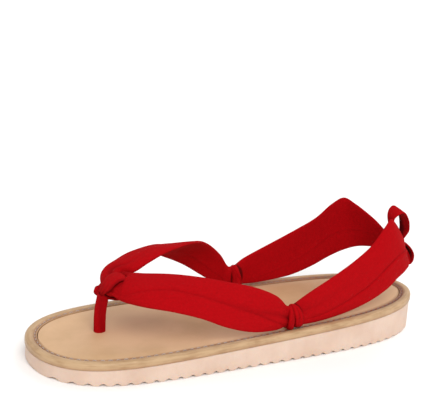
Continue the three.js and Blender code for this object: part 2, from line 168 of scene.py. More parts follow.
def pose(right: np.ndarray, upward: np.ndarray, back: np.ndarray, place: tuple[float, float, float]) -> Matrix:
    """Matrix of an object from the directions of its own axes and its place in millimetres.

    Args:
        right: its own X.
        upward: its own Y.
        back: its own Z.
        place: where it stands.

    Returns:
        The matrix, in metres.
    """
    turn = np.eye(4)
    turn[:3] = np.stack([right, upward, back, np.array(place) * MM], axis=1)
    return Matrix(turn.tolist())


def ripple(grid: np.ndarray, lengths: tuple[float, ...]) -> np.ndarray:
    """Small irregular waves over space: the mean of sines along fixed slanting directions.

    Args:
        grid: positions in millimetres.
        lengths: one wave length for each sine.

    Returns:
        A height from about -1 to 1 at each position.
    """
    total = np.zeros(grid.shape[:-1])
    for number, length in enumerate(lengths):
        slant = np.array([math.cos(1.7 * number), math.sin(2.3 * number + 0.4), math.cos(0.9 * number + 1.1)])
        total += np.sin(2 * math.pi * (grid @ slant) / length + 1.3 * number)
    return total / len(lengths)


def grid_faces(rows: int, columns: int, ring_rows: bool) -> np.ndarray:
    """Quads over a grid whose columns close on themselves, and whose rows do too if asked.

    Args:
        rows: how many.
        columns: how many.
        ring_rows: whether the last row joins the first.

    Returns:
        Four point numbers for each quad.
    """
    row = np.arange(rows if ring_rows else rows - 1)[:, None]
    column = np.arange(columns)[None, :]
    here, ahead = row * columns, ((row + 1) % rows) * columns
    beside = (column + 1) % columns
    quads = np.stack([here + column, ahead + column, ahead + beside, here + beside], axis=-1)
    return quads.reshape(-1, 4)


@dataclass
class Skin:
    """A closed surface on a grid of points, rows along the piece and columns round it.

    Attributes:
        grid: points, rows by columns by 3, in millimetres.
        ring_rows: whether the last row joins the first.
        shade: painted shade at each point, from 0 to 1, which the materials read as the fold attribute.
    """

    grid: np.ndarray
    ring_rows: bool = False
    shade: np.ndarray | None = None

    def arrays(self) -> tuple[np.ndarray, list[tuple[int, ...]], np.ndarray, np.ndarray]:
        """Points, faces, painted shade and the cloth's own coordinates, with each open end closed by a middle point
        in full painted shade.

        Returns:
            Points, faces, the painted shade of each point, and each point's run along and round the piece.
        """
        rows, columns = self.grid.shape[:2]
        points = self.grid.reshape(-1, 3)
        shade = np.zeros(rows * columns) if self.shade is None else self.shade.reshape(-1)
        steps = np.linalg.norm(np.diff(self.grid, axis=0), axis=2).mean(axis=1)
        run = np.repeat(np.concatenate([[0], np.cumsum(steps)])[:, None], columns, axis=1)
        girths = np.linalg.norm(self.grid - np.roll(self.grid, 1, axis=1), axis=2)
        girth = np.cumsum(girths, axis=1).mean(axis=0)
        girth = np.where(np.arange(columns) < columns / 2, girth, girth[-1] - girth)
        places = np.stack([run, np.repeat(girth[None, :], rows, axis=0)], axis=-1).reshape(-1, 2)
        faces = [tuple(quad) for quad in grid_faces(rows, columns, self.ring_rows).tolist()]
        if not self.ring_rows:
            ends = np.stack([self.grid[0].mean(axis=0), self.grid[-1].mean(axis=0)])
            points = np.vstack([points, ends])
            shade = np.concatenate([shade, [1, 1]])
            places = np.vstack([places, places[[0, -1]]])
            first, last = rows * columns, rows * columns + 1
            base = (rows - 1) * columns
            for column in range(columns):
                beside = (column + 1) % columns
                faces.append((first, column, beside))
                faces.append((last, base + beside, base + column))
        if self.volume(points, faces) < 0:
            faces = [face[::-1] for face in faces]
        return points, faces, shade, places

    @staticmethod
    def volume(points: np.ndarray, faces: list[tuple[int, ...]]) -> float:
        """Signed volume inside the faces, from the wedge that each makes with the origin.

        Args:
            points: one row per point.
            faces: triangles and quads.

        Returns:
            The volume in cubic millimetres.
        """
        total = 0.0
        for size in (3, 4):
            chosen = np.array([face for face in faces if len(face) == size])
            if len(chosen):
                corners = points[chosen]
                for step in range(1, size - 1):
                    normal = np.cross(corners[:, step], corners[:, step + 1])
                    total += float(np.einsum("ij,ij->", corners[:, 0], normal)) / 6
        return total


def make_piece(name: str, skins: list[Skin], material: bpy.types.Material) -> bpy.types.Object:
    """Joins skins into one smooth mesh object that rides on the sandal.

    Args:
        name: the object's name.
        skins: the surfaces that the piece is made of.
        material: its material.

    Returns:
        The new object.
    """
    points, faces, shades, places = [], [], [], []
    offset = 0
    for skin in skins:
        skin_points, skin_faces, shade, place = skin.arrays()
        points.append(skin_points)
        faces += [tuple(index + offset for index in face) for face in skin_faces]
        shades.append(shade)
        places.append(place)
        offset += len(skin_points)
    mesh = bpy.data.meshes.new(name)
    mesh.from_pydata((np.vstack(points) * MM).tolist(), [], faces)
    mesh.polygons.foreach_set("use_smooth", np.ones(len(mesh.polygons), dtype=bool))
    corners = np.zeros(len(mesh.loops), dtype=np.int64)
    mesh.loops.foreach_get("vertex_index", corners)
    cloth = mesh.uv_layers.new(name="cloth")
    cloth.data.foreach_set("uv", (np.vstack(places)[corners] * MM).astype(np.float32).reshape(-1))
    # The fold attribute holds each point's painted shade.
    fold = mesh.attributes.new("fold", "FLOAT", "POINT")
    fold.data.foreach_set("value", np.concatenate(shades).astype(np.float32))
    mesh.materials.append(material)
    mesh.update()
    piece = bpy.data.objects.new(name, mesh)
    bpy.context.scene.collection.objects.link(piece)
    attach(piece, ROOT)
    log.info("%s: %d faces", name, len(faces))
    return piece


# Materials


def linear(colour: str) -> tuple[float, float, float, float]:
    """A colour written as sRGB hex, turned to linear red, green, blue and full alpha.

    Args:
        colour: a hash and six digits.

    Returns:
        Four shares from 0 to 1.
    """
    parts = [int(colour[start:start + 2], 16) / 255 for start in (1, 3, 5)]
    values = [part / 12.92 if part <= 0.04045 else ((part + 0.055) / 1.055) ** 2.4 for part in parts]
    return values[0], values[1], values[2], 1.0


class NodeBench:
    """A new material's node tree in the making, with one method that adds to it."""

    def __init__(self, name: str) -> None:
        """Starts an empty material with nodes.

        Args:
            name: what it is made of and how.
        """
        self.material = bpy.data.materials.new(name)
        self.material.use_nodes = True
        self.material.node_tree.nodes.clear()

    def add(self, kind: str, settings: dict[str, object] | None = None, **sockets: object) -> bpy.types.Node:
        """Adds a node with its settings and links.

        Args:
            kind: the node's type, without the word ShaderNode before it.
            settings: values for the node's own properties.
            sockets: for each input, by name with underscores for spaces or as in_ and its number, a value, an
                output socket to link from, or a node whose first live output is linked.

        Returns:
            The new node.
        """
        tree = self.material.node_tree
        node = tree.nodes.new("ShaderNode" + kind)
        for key, value in (settings or {}).items():
            setattr(node, key, value)
        for key, value in sockets.items():
            socket = node.inputs[int(key[3:]) if key.startswith("in_") else key.replace("_", " ")]
            if isinstance(value, bpy.types.Node):
                value = next(output for output in value.outputs if output.enabled)
            if isinstance(value, bpy.types.NodeSocket):
                tree.links.new(value, socket)
            else:
                socket.default_value = value
        return node

    def two_tone(self, pattern: bpy.types.Node, levels: tuple[float, float], deep: str, base: str) -> bpy.types.Node:
        """Goes from the deep colour to the base one as a pattern's value rises from one level to the other."""
        share = self.add("MapRange", Value=pattern, From_Min=levels[0], From_Max=levels[1])
        return self.add("Mix", COLOURS, in_0=share, in_6=linear(deep), in_7=linear(base))

    def with_painted_shade(self, colour: bpy.types.Node, shade_colour: str) -> bpy.types.Node:
        """Turns a colour towards the colour of painted shade where the piece's fold attribute, its painted shade, is
        high.
        """
        depth = self.add("Attribute", {"attribute_name": "fold"}).outputs["Fac"]
        return self.add("Mix", COLOURS, in_0=depth, in_6=colour, in_7=linear(shade_colour))

    def close(self, **sockets: object) -> bpy.types.Material:
        """Ends the material in its shader and output.

        Args:
            sockets: the shader's inputs, as add takes them.

        Returns:
            The finished material.
        """
        self.add("OutputMaterial", Surface=self.add("BsdfPrincipled", **sockets))
        return self.material


@dataclass(frozen=True)
class DyedCotton:
    """Plain woven cotton, dyed red: matt, with a soft bloom of fibre ends, and painted shade in its creases and
    pleats, at its knots, inside its loops and in the gaps of its weave.

    The real thread spacing is about 0.4 mm. It is drawn at 0.9 mm so that it shows. The dye is mottled over about
    1.3 mm, slubs are 0.45 mm across and the cloth crumples over about 12 mm.
    """

    base: str = "#b2060f"
    deep: str = "#a0050c"
    # Colour of the painted shade, laid on where the fold attribute is high.
    fold: str = "#380305"
    bloom: str = "#ff2a20"
    thread_mm: float = 0.9
    weave_height_mm: float = 0.14
    mottles_per_m: float = 750.0
    slubs_per_m: float = 2200.0
    creases_per_m: float = 85.0

    def build(self) -> bpy.types.Material:
        """Makes the material.

        Returns:
            The finished material.
        """
        bench = NodeBench("dyed_cotton_plain_weave")
        cloth = bench.add("SeparateXYZ", Vector=bench.add("UVMap", {"uv_map": "cloth"}))
        rate = 2 * math.pi / (self.thread_mm * MM)
        warp, weft = (bench.add("Math", SINE, in_0=bench.add("Math", TIMES, in_0=cloth.outputs[axis], in_1=rate))
                      for axis in ("X", "Y"))
        weave = bench.add("Math", TIMES, in_0=warp, in_1=weft)
        place = bench.add("TexCoord").outputs["Object"]
        mottle = bench.add("TexNoise", Vector=place, Scale=self.mottles_per_m, Detail=3.0, Roughness=0.6)
        slub = bench.add("TexNoise", Vector=place, Scale=self.slubs_per_m, Detail=2.0, Roughness=0.5)
        creases = bench.add("TexNoise", Vector=place, Scale=self.creases_per_m, Detail=3.0, Roughness=0.55,
                            Distortion=0.6)
        dyed = bench.two_tone(mottle, (0.25, 0.7), self.deep, self.base)
        # The slubs' tone is real; the darkening in the weave's gaps is painted shade.
        gaps = bench.add("MapRange", Value=weave, From_Min=-1.0, From_Max=-0.2, To_Min=0.35, To_Max=0.0)
        slub_and_gap_shade = bench.add("Math", TIMES_PLUS, in_0=slub, in_1=0.3, in_2=gaps)
        slubbed_and_gap_shaded = bench.add("Mix", COLOURS, in_0=slub_and_gap_shade, in_6=dyed, in_7=linear(self.deep))
        crumple = bench.add("Bump", Strength=0.2, Distance=0.5 * MM, Height=creases)
        threads = bench.add("Bump", Strength=0.7, Distance=self.weave_height_mm * MM, Height=weave, Normal=crumple)
        return bench.close(Base_Color=bench.with_painted_shade(slubbed_and_gap_shaded, self.fold), Roughness=0.95, Normal=threads,
                           Sheen_Weight=0.06, Sheen_Roughness=0.4, Sheen_Tint=linear(self.bloom),
                           Specular_IOR_Level=0.06)


@dataclass(frozen=True)
class RolledBinding:
    """Tan coated leather rolled over a bead: a satin coat, fine pores, and a reddish painted shade where it dips to
    the stitches, by the side knots and along its bottom, stronger towards the heel.

    Its tone drifts over about 17 mm, and it wrinkles over about 4 mm.
    """

    base: str = "#bf9e78"
    deep: str = "#a7845e"
    # Colour of the painted shade.
    shade_colour: str = "#84492f"
    pore_mm: float = 0.7
    streak_mm: float = 1.1
    clouds_per_m: float = 60.0
    wrinkles_per_m: float = 240.0

    def build(self) -> bpy.types.Material:
        """Makes the material.

        Returns:
            The finished material.
        """
        bench = NodeBench("rolled_tan_coated_leather")
        place = bench.add("TexCoord").outputs["Object"]
        pores = bench.add("TexVoronoi", {"feature": "F1"}, Vector=place, Scale=1 / (self.pore_mm * MM))
        cloud = bench.add("TexNoise", Vector=place, Scale=self.clouds_per_m, Detail=5.0, Roughness=0.6)
        wrinkle = bench.add("TexNoise", Vector=place, Scale=self.wrinkles_per_m, Detail=4.0, Roughness=0.65)
        across = 1 / (self.streak_mm * MM)
        drawn = bench.add("Mapping", Vector=bench.add("UVMap", {"uv_map": "cloth"}), Scale=(across / 8, across, 1.0))
        streaks = bench.add("TexNoise", Vector=drawn, Scale=1.0, Detail=3.0)
        half = bench.add("Math", TIMES, in_0=streaks, in_1=0.5)
        tanned = bench.two_tone(bench.add("Math", TIMES_PLUS, in_0=cloud, in_1=0.5, in_2=half), (0.36, 0.56),
                                self.deep, self.base)
        rough = bench.add("MapRange", Value=cloud, To_Min=0.38, To_Max=0.55)
        coarse = bench.add("Bump", Strength=0.35, Distance=0.35 * MM, Height=wrinkle)
        fine = bench.add("Bump", Strength=0.35, Distance=0.12 * MM, Height=pores, Normal=coarse)
        return bench.close(Base_Color=bench.with_painted_shade(tanned, self.shade_colour), Roughness=rough, Normal=fine,
                           Specular_IOR_Level=0.4)


@dataclass(frozen=True)
class FootbedLeather:
    """Tan coated leather stretched flat over a board: fine grain, painted shade towards its edge, stronger towards
    the heel, and a few soft draw lines.

    Its tone drifts over about 45 mm, and the draw lines are about 33 mm long and 4 mm apart.
    """

    base: str = "#d5ae87"
    deep: str = "#c09a70"
    # Colour of the painted shade.
    shade_colour: str = "#7f5134"
    grain_mm: float = 1.1
    clouds_per_m: float = 22.0
    draws_per_m: tuple[float, float, float] = (30.0, 260.0, 60.0)

    def build(self) -> bpy.types.Material:
        """Makes the material.

        Returns:
            The finished material.
        """
        bench = NodeBench("flat_tan_coated_leather")
        place = bench.add("TexCoord").outputs["Object"]
        grain = bench.add("TexVoronoi", {"feature": "DISTANCE_TO_EDGE"}, Vector=place,
                          Scale=1 / (self.grain_mm * MM))
        cloud = bench.add("TexNoise", Vector=place, Scale=self.clouds_per_m, Detail=6.0, Roughness=0.6)
        stretched = bench.add("Mapping", Vector=place, Scale=self.draws_per_m)
        draw = bench.add("TexNoise", Vector=stretched, Scale=1.0, Detail=4.0)
        tanned = bench.two_tone(cloud, (0.28, 0.6), self.deep, self.base)
        rough = bench.add("MapRange", Value=cloud, To_Min=0.45, To_Max=0.65)
        pulled = bench.add("Bump", Strength=0.25, Distance=0.3 * MM, Height=draw)
        pebble = bench.add("Bump", Strength=0.3, Distance=0.15 * MM, Height=grain, Normal=pulled)
        return bench.close(Base_Color=bench.with_painted_shade(tanned, self.shade_colour), Roughness=rough, Normal=pebble,
                           Specular_IOR_Level=0.4)


@dataclass(frozen=True)
class CutFoam:
    """Closed-cell EVA foam, skived on its side: matt peach with fine pits and faint upright marks of the blade.

    Its tone drifts over about 29 mm.
    """

    base: str = "#dac2b1"
    deep: str = "#cdb09c"
    cell_mm: float = 0.8
    blade_mm: float = 2.2
    clouds_per_m: float = 35.0

    def build(self) -> bpy.types.Material:
        """Makes the material.

        Returns:
            The finished material.
        """
        bench = NodeBench("cut_eva_foam")
        place = bench.add("TexCoord").outputs["Object"]
        cells = bench.add("TexVoronoi", {"feature": "F1"}, Vector=place, Scale=1 / (self.cell_mm * MM))
        across = 1 / (self.blade_mm * MM)
        upright = bench.add("Mapping", Vector=place, Scale=(across, across, across / 12))
        blade = bench.add("TexNoise", Vector=upright, Scale=1.0, Detail=3.0)
        cloud = bench.add("TexNoise", Vector=place, Scale=self.clouds_per_m, Detail=4.0, Roughness=0.6)
        tint = bench.two_tone(cloud, (0.3, 0.6), self.deep, self.base)
        streaks = bench.add("Math", TIMES, in_0=blade, in_1=0.35)
        colour = bench.add("Mix", COLOURS, in_0=streaks, in_6=tint, in_7=linear(self.deep))
        cut = bench.add("Bump", Strength=0.3, Distance=0.3 * MM, Height=blade)
        pits = bench.add("Bump", Strength=0.4, Distance=0.15 * MM, Height=cells, Normal=cut)
        return bench.close(Base_Color=colour, Roughness=0.82, Normal=pits, Specular_IOR_Level=0.3,
                           Subsurface_Weight=0.25, Subsurface_Radius=(0.004, 0.002, 0.001))


@dataclass(frozen=True)
class SewingThread:
    """Spun polyester thread, pale lilac grey, with a faint twist, and painted shade that darkens it towards the heel.
    """

    base: str = "#c2b1a9"
    deep: str = "#a18d84"
    # Colour of the painted shade.
    thread_shade: str = "#6b4536"
    twist_mm: float = 0.6

    def build(self) -> bpy.types.Material:
        """Makes the material.

        Returns:
            The finished material.
        """
        bench = NodeBench("spun_sewing_thread")
        place = bench.add("TexCoord").outputs["Object"]
        twist = bench.add("TexNoise", Vector=place, Scale=1 / (self.twist_mm * MM), Detail=1.0)
        spun = bench.two_tone(twist, (0.35, 0.6), self.deep, self.base)
        bump = bench.add("Bump", Strength=0.4, Distance=0.1 * MM, Height=twist)
        return bench.close(Base_Color=bench.with_painted_shade(spun, self.thread_shade), Roughness=0.7, Normal=bump,
                           Sheen_Weight=0.2)


# The sole


@dataclass
class SoleShape:
    """The laws that give the sole its outline and thickness, as in the CAD."""

    length: float = 250.0
    heel_end_width: float = 72.8
    toe_end_width: float = 92.4
    fullness: float = 1.25
    heel_squareness: float = 4.4
    toe_squareness: float = 5.3
    heel_height: float = 18.6
    toe_height: float = 8.5
    top_sag: float = 0.42
    clearance: float = 0.3
    insole_thickness: float = 2.7
    rim_width: float = 6.8
    rim_height: float = 3.6
    # The painted shade along the footbed's edge starts to grow at this place and reaches full strength this far
    # behind it.
    rear_shade_start: float = 30.0
    rear_shade_reach: float = 40.0
    least_half: float = 0.05

    def length_share(self, x: np.ndarray) -> np.ndarray:
        """Place along the sole from 0 at the heel to 1 at the toe."""
        return np.clip(x / self.length + 0.5, 0, 1)

    def half_width(self, x: np.ndarray) -> np.ndarray:
        """Half width before the ends are rounded: straight from heel to toe plus a shallow bulge.

        Args:
            x: places along the sole.

        Returns:
            The half width at each.
        """
        share = self.length_share(x)
        ends = self.heel_end_width + (self.toe_end_width - self.heel_end_width) * share
        return ends / 2 + self.fullness * 4 * share * (1 - share)

    def wedge_top(self, x: np.ndarray) -> np.ndarray:
        """Height of the foam's top: straight from heel to toe less a shallow sag.

        Args:
            x: places along the sole.

        Returns:
            The height at each.
        """
        share = self.length_share(x)
        slope = self.heel_height + (self.toe_height - self.heel_height) * share
        return slope - self.top_sag * 4 * share * (1 - share)

    def footbed_top(self, x: np.ndarray) -> np.ndarray:
        """Height of the insole's top."""
        return self.wedge_top(x) + self.clearance + self.insole_thickness

    def edge(self, angle: np.ndarray) -> np.ndarray:
        """Outline as a rounded box: x is a cosine, and y the half width times the root of one less a high power.

        Args:
            angle: places round the outline.

        Returns:
            X and Y on the last axis.
        """
        x = self.length / 2 * np.cos(angle)
        squareness = self.heel_squareness + (self.toe_squareness - self.heel_squareness) * self.length_share(x)
        cap = np.sqrt(np.maximum(0, 1 - np.abs(np.cos(angle)) ** squareness))
        return np.stack([x, np.sign(np.sin(angle)) * self.half_width(x) * cap], axis=-1)

    def outline(self, angle: np.ndarray, inset: np.ndarray | float) -> np.ndarray:
        """Outline moved inwards along its own normal.

        Args:
            angle: places round the outline.
            inset: how far in, of a shape that fits the angles.

        Returns:
            X and Y on the last axis.
        """
        step = 1e-3
        along = unit(self.edge(angle + step) - self.edge(angle - step))
        inward = np.stack([-along[..., 1], along[..., 0]], axis=-1)
        return self.edge(angle) + inward * np.asarray(inset)[..., None]

    def halves(self, stations: int, inset: float) -> tuple[np.ndarray, np.ndarray]:
        """Stations from toe to heel, closer at the ends, with the half width inside an inset at each.

        Args:
            stations: how many.
            inset: how far in from the outline.

        Returns:
            X and the half width.
        """
        outline = self.outline(math.pi * (np.arange(stations) + 0.5) / stations, inset)
        return outline[:, 0], np.maximum(outline[:, 1], self.least_half)

    def rear_shade(self, x: np.ndarray) -> np.ndarray:
        """Strength of the painted shade along the footbed's edge and stitches: 0 towards the toe, rising to 1 a
        little behind the middle.
        """
        return np.clip((self.rear_shade_start - x) / self.rear_shade_reach, 0, 1)


SOLE = SoleShape()


@dataclass
class FoamWedge:
    """The ribbed foam outsole."""

    overhang: float = 0.5
    tread_pitch: float = 7.2
    tread_land: float = 1.4
    tread_shift: float = 0.75
    groove_depth: float = 1.3
    inner_depth: float = 0.35
    inner_reach: float = 4.0
    heel_depth: float = 0.3
    heel_reach: float = 60.0
    corner: float = 0.7
    top_corner: float = 0.4
    stations: int = 1400
    bottom_steps: int = 28
    side_steps: int = 5

    def tread(self, x: np.ndarray) -> np.ndarray:
        """Height of the tread: narrow lands with a squared sine between them, shallower towards the heel's end.

        Args:
            x: places along the sole.

        Returns:
            The height at each.
        """
        place = np.mod(x + self.tread_land / 2 + self.tread_shift, self.tread_pitch) - self.tread_land
        share = np.clip(place / (self.tread_pitch - self.tread_land), 0, 1)
        fade = self.heel_depth + (1 - self.heel_depth) * np.clip((x + 0.5 * SOLE.length) / self.heel_reach, 0, 1)
        return self.groove_depth * fade * np.sin(math.pi * share) ** 2

    def build(self, material: bpy.types.Material) -> None:
        """Carries a round-cornered box section along the sole, from the tread up to the wedge's top.

        Args:
            material: the piece's material.
        """
        x, half = SOLE.halves(self.stations, self.overhang)
        low, high = self.tread(x), SOLE.wedge_top(x)
        corner = np.minimum(self.corner, half * 0.5)
        round_steps = np.linspace(0, math.pi / 2, 4)
        across, rise = [], []
        for step in np.sin(np.linspace(-math.pi / 2, math.pi / 2, self.bottom_steps)):
            across.append(step * (half - corner))
            inward = np.clip((1 - abs(step)) * half / self.inner_reach, 0, 1)
            rise.append(low * (1 - (1 - self.inner_depth) * inward))
        for turn in round_steps[1:]:
            across.append(half - corner + corner * np.sin(turn))
            rise.append(low + corner * (1 - np.cos(turn)))
        for step in np.linspace(0, 1, self.side_steps)[1:-1]:
            across.append(half)
            rise.append(low + corner + step * (high - low - 1.5 * corner))
        across += [half, half - corner * self.top_corner]
        rise += [high - corner * self.top_corner, high]
        count = len(across)
        across += [-across[index] for index in range(count - 1, self.bottom_steps - 1, -1)]
        rise += [rise[index] for index in range(count - 1, self.bottom_steps - 1, -1)]
        section = np.stack([np.repeat(x[:, None], len(across), axis=1), np.stack(across, axis=1),
                            np.stack(rise, axis=1)], axis=-1)
        piece = make_piece("foam_wedge", [Skin(section)], material)
        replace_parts(piece, "outsole")


@dataclass
class FootbedEdge:
    """The rolled edge of the footbed with its sunk, stitched seam.

    Attributes:
        droop: how far the edge hangs over the foam.
        bead_half: half width of the outer bead, which rises from bead_start.
        lip_drop: how far the inner lip lies below the bead's top, and seam_drop the same for the seam's sides.
        seam_inset: the seam's distance from the outline.
        seam_shade: half width of the painted shade along the seam, before it widens towards the heel.
        pucker: height of the bulges between stitches, which fade over pucker_reach.
        top_from: height above which the skin counts as the upper face.
        tie_behind: place of the painted shade by the side knots, behind the middle, with its reach and strength.
    """

    stations: int = 720
    droop: float = 0.55
    bead_half: float = 2.55
    bead_start: float = 1.5
    lip_drop: float = 0.95
    seam_drop: float = 0.55
    seam_inset: float = 5.55
    seam_depth: float = 0.55
    seam_shade: float = 0.85
    pucker: float = 0.09
    pucker_reach: float = 0.9
    top_from: float = 2.0
    tie_behind: float = 24.0
    tie_reach: float = 20.0
    tie_shade: float = 0.9
    stitch_pitch: float = 4.2
    stitch_length: float = 2.4
    stitch_radius: float = 0.27

    def profile(self) -> tuple[np.ndarray, np.ndarray]:
        """Half round of a bead outside, a narrow sunk seam, and a small inner lip.

        Returns:
            Insets from the outline and heights above the foam, once round the section.
        """
        width, height, low = SOLE.rim_width, SOLE.rim_height, SOLE.clearance
        top = low + height
        turn = np.linspace(0, math.pi, 22)
        bead_inset = self.bead_half * (1 - powered(np.cos(turn), 0.9))
        bead_rise = low + self.bead_start + (height - self.bead_start) * powered(np.sin(turn), 0.72)
        inner_rise = np.maximum(bead_rise, top - self.lip_drop)
        bead = np.stack([bead_inset, np.where(turn > math.pi / 2, inner_rise, bead_rise)], -1)
        seam = np.linspace(bead_inset[-1] + 0.15, width - 0.55, 9)
        sunk = top - self.seam_drop - self.seam_depth * np.exp(-(((seam - self.seam_inset) / 0.5) ** 2))
        lip = np.array([[width - 0.2, top - 0.62], [width, top - self.lip_drop], [width, low + 0.3],
                        [width - 0.3, low]])
        base = np.array([[width * 0.5, low], [0.5, low], [0.46, low - self.droop], [0.2, low - self.droop - 0.1],
                         [0.03, low - self.droop + 0.3], [0.0, low + 0.6]])
        loop = np.vstack([bead, np.stack([seam, sunk], -1), lip, base])
        return loop[:, 0], loop[:, 1]

    def build(self, material: bpy.types.Material, thread: bpy.types.Material) -> None:
        """Carries the profile round the outline, puckered a little at each stitch, and lays the stitches.

        Args:
            material: the piece's material.
            thread: the stitches' material.
        """
        insets, heights = self.profile()
        angle = turns(self.stations)[:, None]
        plan = SOLE.outline(np.repeat(angle, len(insets), axis=1), np.repeat(insets[None], self.stations, axis=0))
        rise = SOLE.wedge_top(plan[..., 0]) + heights[None]
        run = run_along(SOLE.outline(angle[:, 0], self.seam_inset))
        top = heights > self.top_from
        near_seam = np.exp(-(((insets - self.seam_inset) / self.pucker_reach) ** 2)) * top
        pucker = np.sin(2 * math.pi * run / self.stitch_pitch)[:, None] * near_seam[None] * self.pucker
        grid = np.concatenate([plan, (rise + pucker)[..., None]], axis=-1)
        # Painted shade: along the sunk seam, wider and stronger towards the heel, by the side knots, as a dark line
        # at the joint with the footbed, and along the bottom by the foam.
        back = SOLE.rear_shade(plan[:, :1, 0])
        away = np.abs(insets - self.seam_inset) / (self.seam_shade + 0.6 * back)
        tied = self.tie_shade * np.exp(-(((plan[..., 0] + self.tie_behind) / self.tie_reach) ** 2))
        tied = tied * np.clip((insets - 4.3) / 0.8, 0, 1)
        shade = np.maximum(np.exp(-(away ** 2)) * (0.6 + 0.4 * back), tied) * top
        shade = np.maximum(shade, np.where(insets > SOLE.rim_width - 0.05, 0.25 + 0.45 * back, 0))
        shade = np.maximum(shade, 0.3 * np.clip((SOLE.clearance + 0.9 - heights) / 0.9, 0, 1))
        piece = make_piece("rolled_edge", [Skin(grid, True, shade)], material)
        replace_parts(piece, "footbed_rim")
        self.sew(thread)

    def sew(self, thread: bpy.types.Material) -> None:
        """Lays short bowed stitches end to end along the sunk seam.

        Args:
            thread: the stitches' material.
        """
        path = SOLE.outline(turns(4000), self.seam_inset)
        closed = np.vstack([path, path[:1]])
        run = run_along(closed)
        count = int(run[-1] / self.stitch_pitch)
        share = np.linspace(0, 1, 7)
        skins = []
        for number in range(count):
            spots = (number + 0.5) * run[-1] / count + (share - 0.5) * self.stitch_length
            xy = np.stack([np.interp(spots, run, closed[:, axis]) for axis in range(2)], axis=-1)
            lift = SOLE.clearance + SOLE.rim_height - 0.85 + 0.35 * np.sin(math.pi * share)
            centre = np.concatenate([xy, (SOLE.wedge_top(xy[:, 0]) + lift)[:, None]], axis=1)
            ahead = unit(np.gradient(centre, axis=0))
            beside = unit(np.cross(ahead, [0.0, 0.0, 1.0]))
            above = np.cross(beside, ahead)
            thick = self.stitch_radius * (0.45 + 0.55 * np.sin(math.pi * np.clip(share, 0.08, 0.92)))
            turn = turns(6)
            ring = (np.cos(turn)[None, :, None] * beside[:, None] + np.sin(turn)[None, :, None] * above[:, None])
            # Painted shade on the stitches, stronger towards the heel.
            thread_shade = np.repeat(0.6 * SOLE.rear_shade(centre[:, :1]), len(turn), axis=1)
            skins.append(Skin(centre[:, None] + ring * thick[:, None, None], False, thread_shade))
        make_piece("edge_stitches", skins, thread)


@dataclass
class FootbedPad:
    """The insole, a flat pad that rises a little to its edge."""

    edge_radius: float = 0.8
    edge_rise: float = 0.25
    swell_inset: float = 6.0
    swell_reach: float = 4.0
    shade_reach: float = 1.2
    stations: int = 500
    top_steps: int = 60

    def build(self, material: bpy.types.Material) -> None:
        """Carries a thin round-edged section along the sole inside the rim.

        Args:
            material: the piece's material.
        """
        inset = SOLE.rim_width + SOLE.clearance
        x, half = SOLE.halves(self.stations, inset)
        share = np.sin(np.linspace(-math.pi / 2, math.pi / 2, self.top_steps))
        across = half[:, None] * share[None]
        from_edge = half[:, None] - np.abs(across)
        ends = np.maximum(SOLE.length / 2 - inset - np.abs(x), 0)[:, None]
        margin = np.minimum(from_edge, ends)
        drop = self.edge_radius * (1 - np.sqrt(1 - np.clip(1 - margin / self.edge_radius, 0, 1) ** 2))
        swell = self.edge_rise * np.exp(-(((margin - self.swell_inset) / self.swell_reach) ** 2))
        grid_top = SOLE.footbed_top(x)[:, None] - drop - self.edge_rise * 0.6 + swell
        top = np.stack([np.repeat(x[:, None], self.top_steps, 1), across, grid_top], -1)
        base = top[:, ::-1].copy()
        base[..., 2] = (SOLE.wedge_top(x) + SOLE.clearance)[:, None]
        # Painted shade along the footbed's edge, wider and stronger towards the heel.
        back = SOLE.rear_shade(x)[:, None]
        shade = np.clip(1 - margin / (self.shade_reach + back), 0, 1) * (0.25 + 0.4 * back)
        shade = np.concatenate([shade, np.zeros_like(margin)], axis=1)
        piece = make_piece("footbed_pad", [Skin(np.concatenate([top, base], axis=1), False, shade)], material)
        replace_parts(piece, "insole")


# Cloth


@dataclass
class Fold:
    """A soft crease along a strap.

    Attributes:
        places: across the strap at even shares of its length, from -1 at the lower edge to 1 at the upper one.
        depth: how deep it is at the same shares, in millimetres; a negative depth is a ridge.
        width: half width of the trough in millimetres.
    """

    places: tuple[float, ...]
    depth: tuple[float, ...]
    width: float = 1.6

    def dent(self, share: np.ndarray, place: np.ndarray, half: np.ndarray) -> np.ndarray:
        """Depth of the trough, which is sharpest at its bottom.

        Args:
            share: place along the strap, one for each row.
            place: place across it, from -1 to 1.
            half: the strap's half width at each row.

        Returns:
            Depth at each row and place.
        """
        stops = np.linspace(0, 1, len(self.places))
        middle = spline(np.stack([stops, np.array(self.places)], -1), share)[:, 1][:, None]
        deep = np.interp(share, np.linspace(0, 1, len(self.depth)), self.depth)[:, None]
        return deep * np.exp(-np.abs((place - middle) * half[:, None] / self.width) ** 1.3)


@dataclass
class EdgeRow:
    """One row of a strap: shares of the sole's length, of its half width and of the rise above the footbed."""

    along: float
    out: float
    rise: float
    low_along: float
    low_out: float
    low_rise: float
    thick: float
    crown: float

    def points(self, side: Side, full_rise: float) -> tuple[np.ndarray, np.ndarray, np.ndarray]:
        """Upper edge, lower edge, and thickness with crown, all in millimetres.

        Args:
            side: the strap's side.
            full_rise: what a rise of 1 stands for.

        Returns:
            The three points of the row.
        """
        edges = []
        for along, out, rise in ((self.along, self.out, self.rise), (self.low_along, self.low_out, self.low_rise)):
            x = np.array(along * SOLE.length)
            height = SOLE.footbed_top(x) + rise * full_rise
            edges.append(np.array([x, side.value * out * SOLE.half_width(x), height]))
        return edges[0], edges[1], np.array([self.thick, self.crown]) * PINCH_THICKNESS


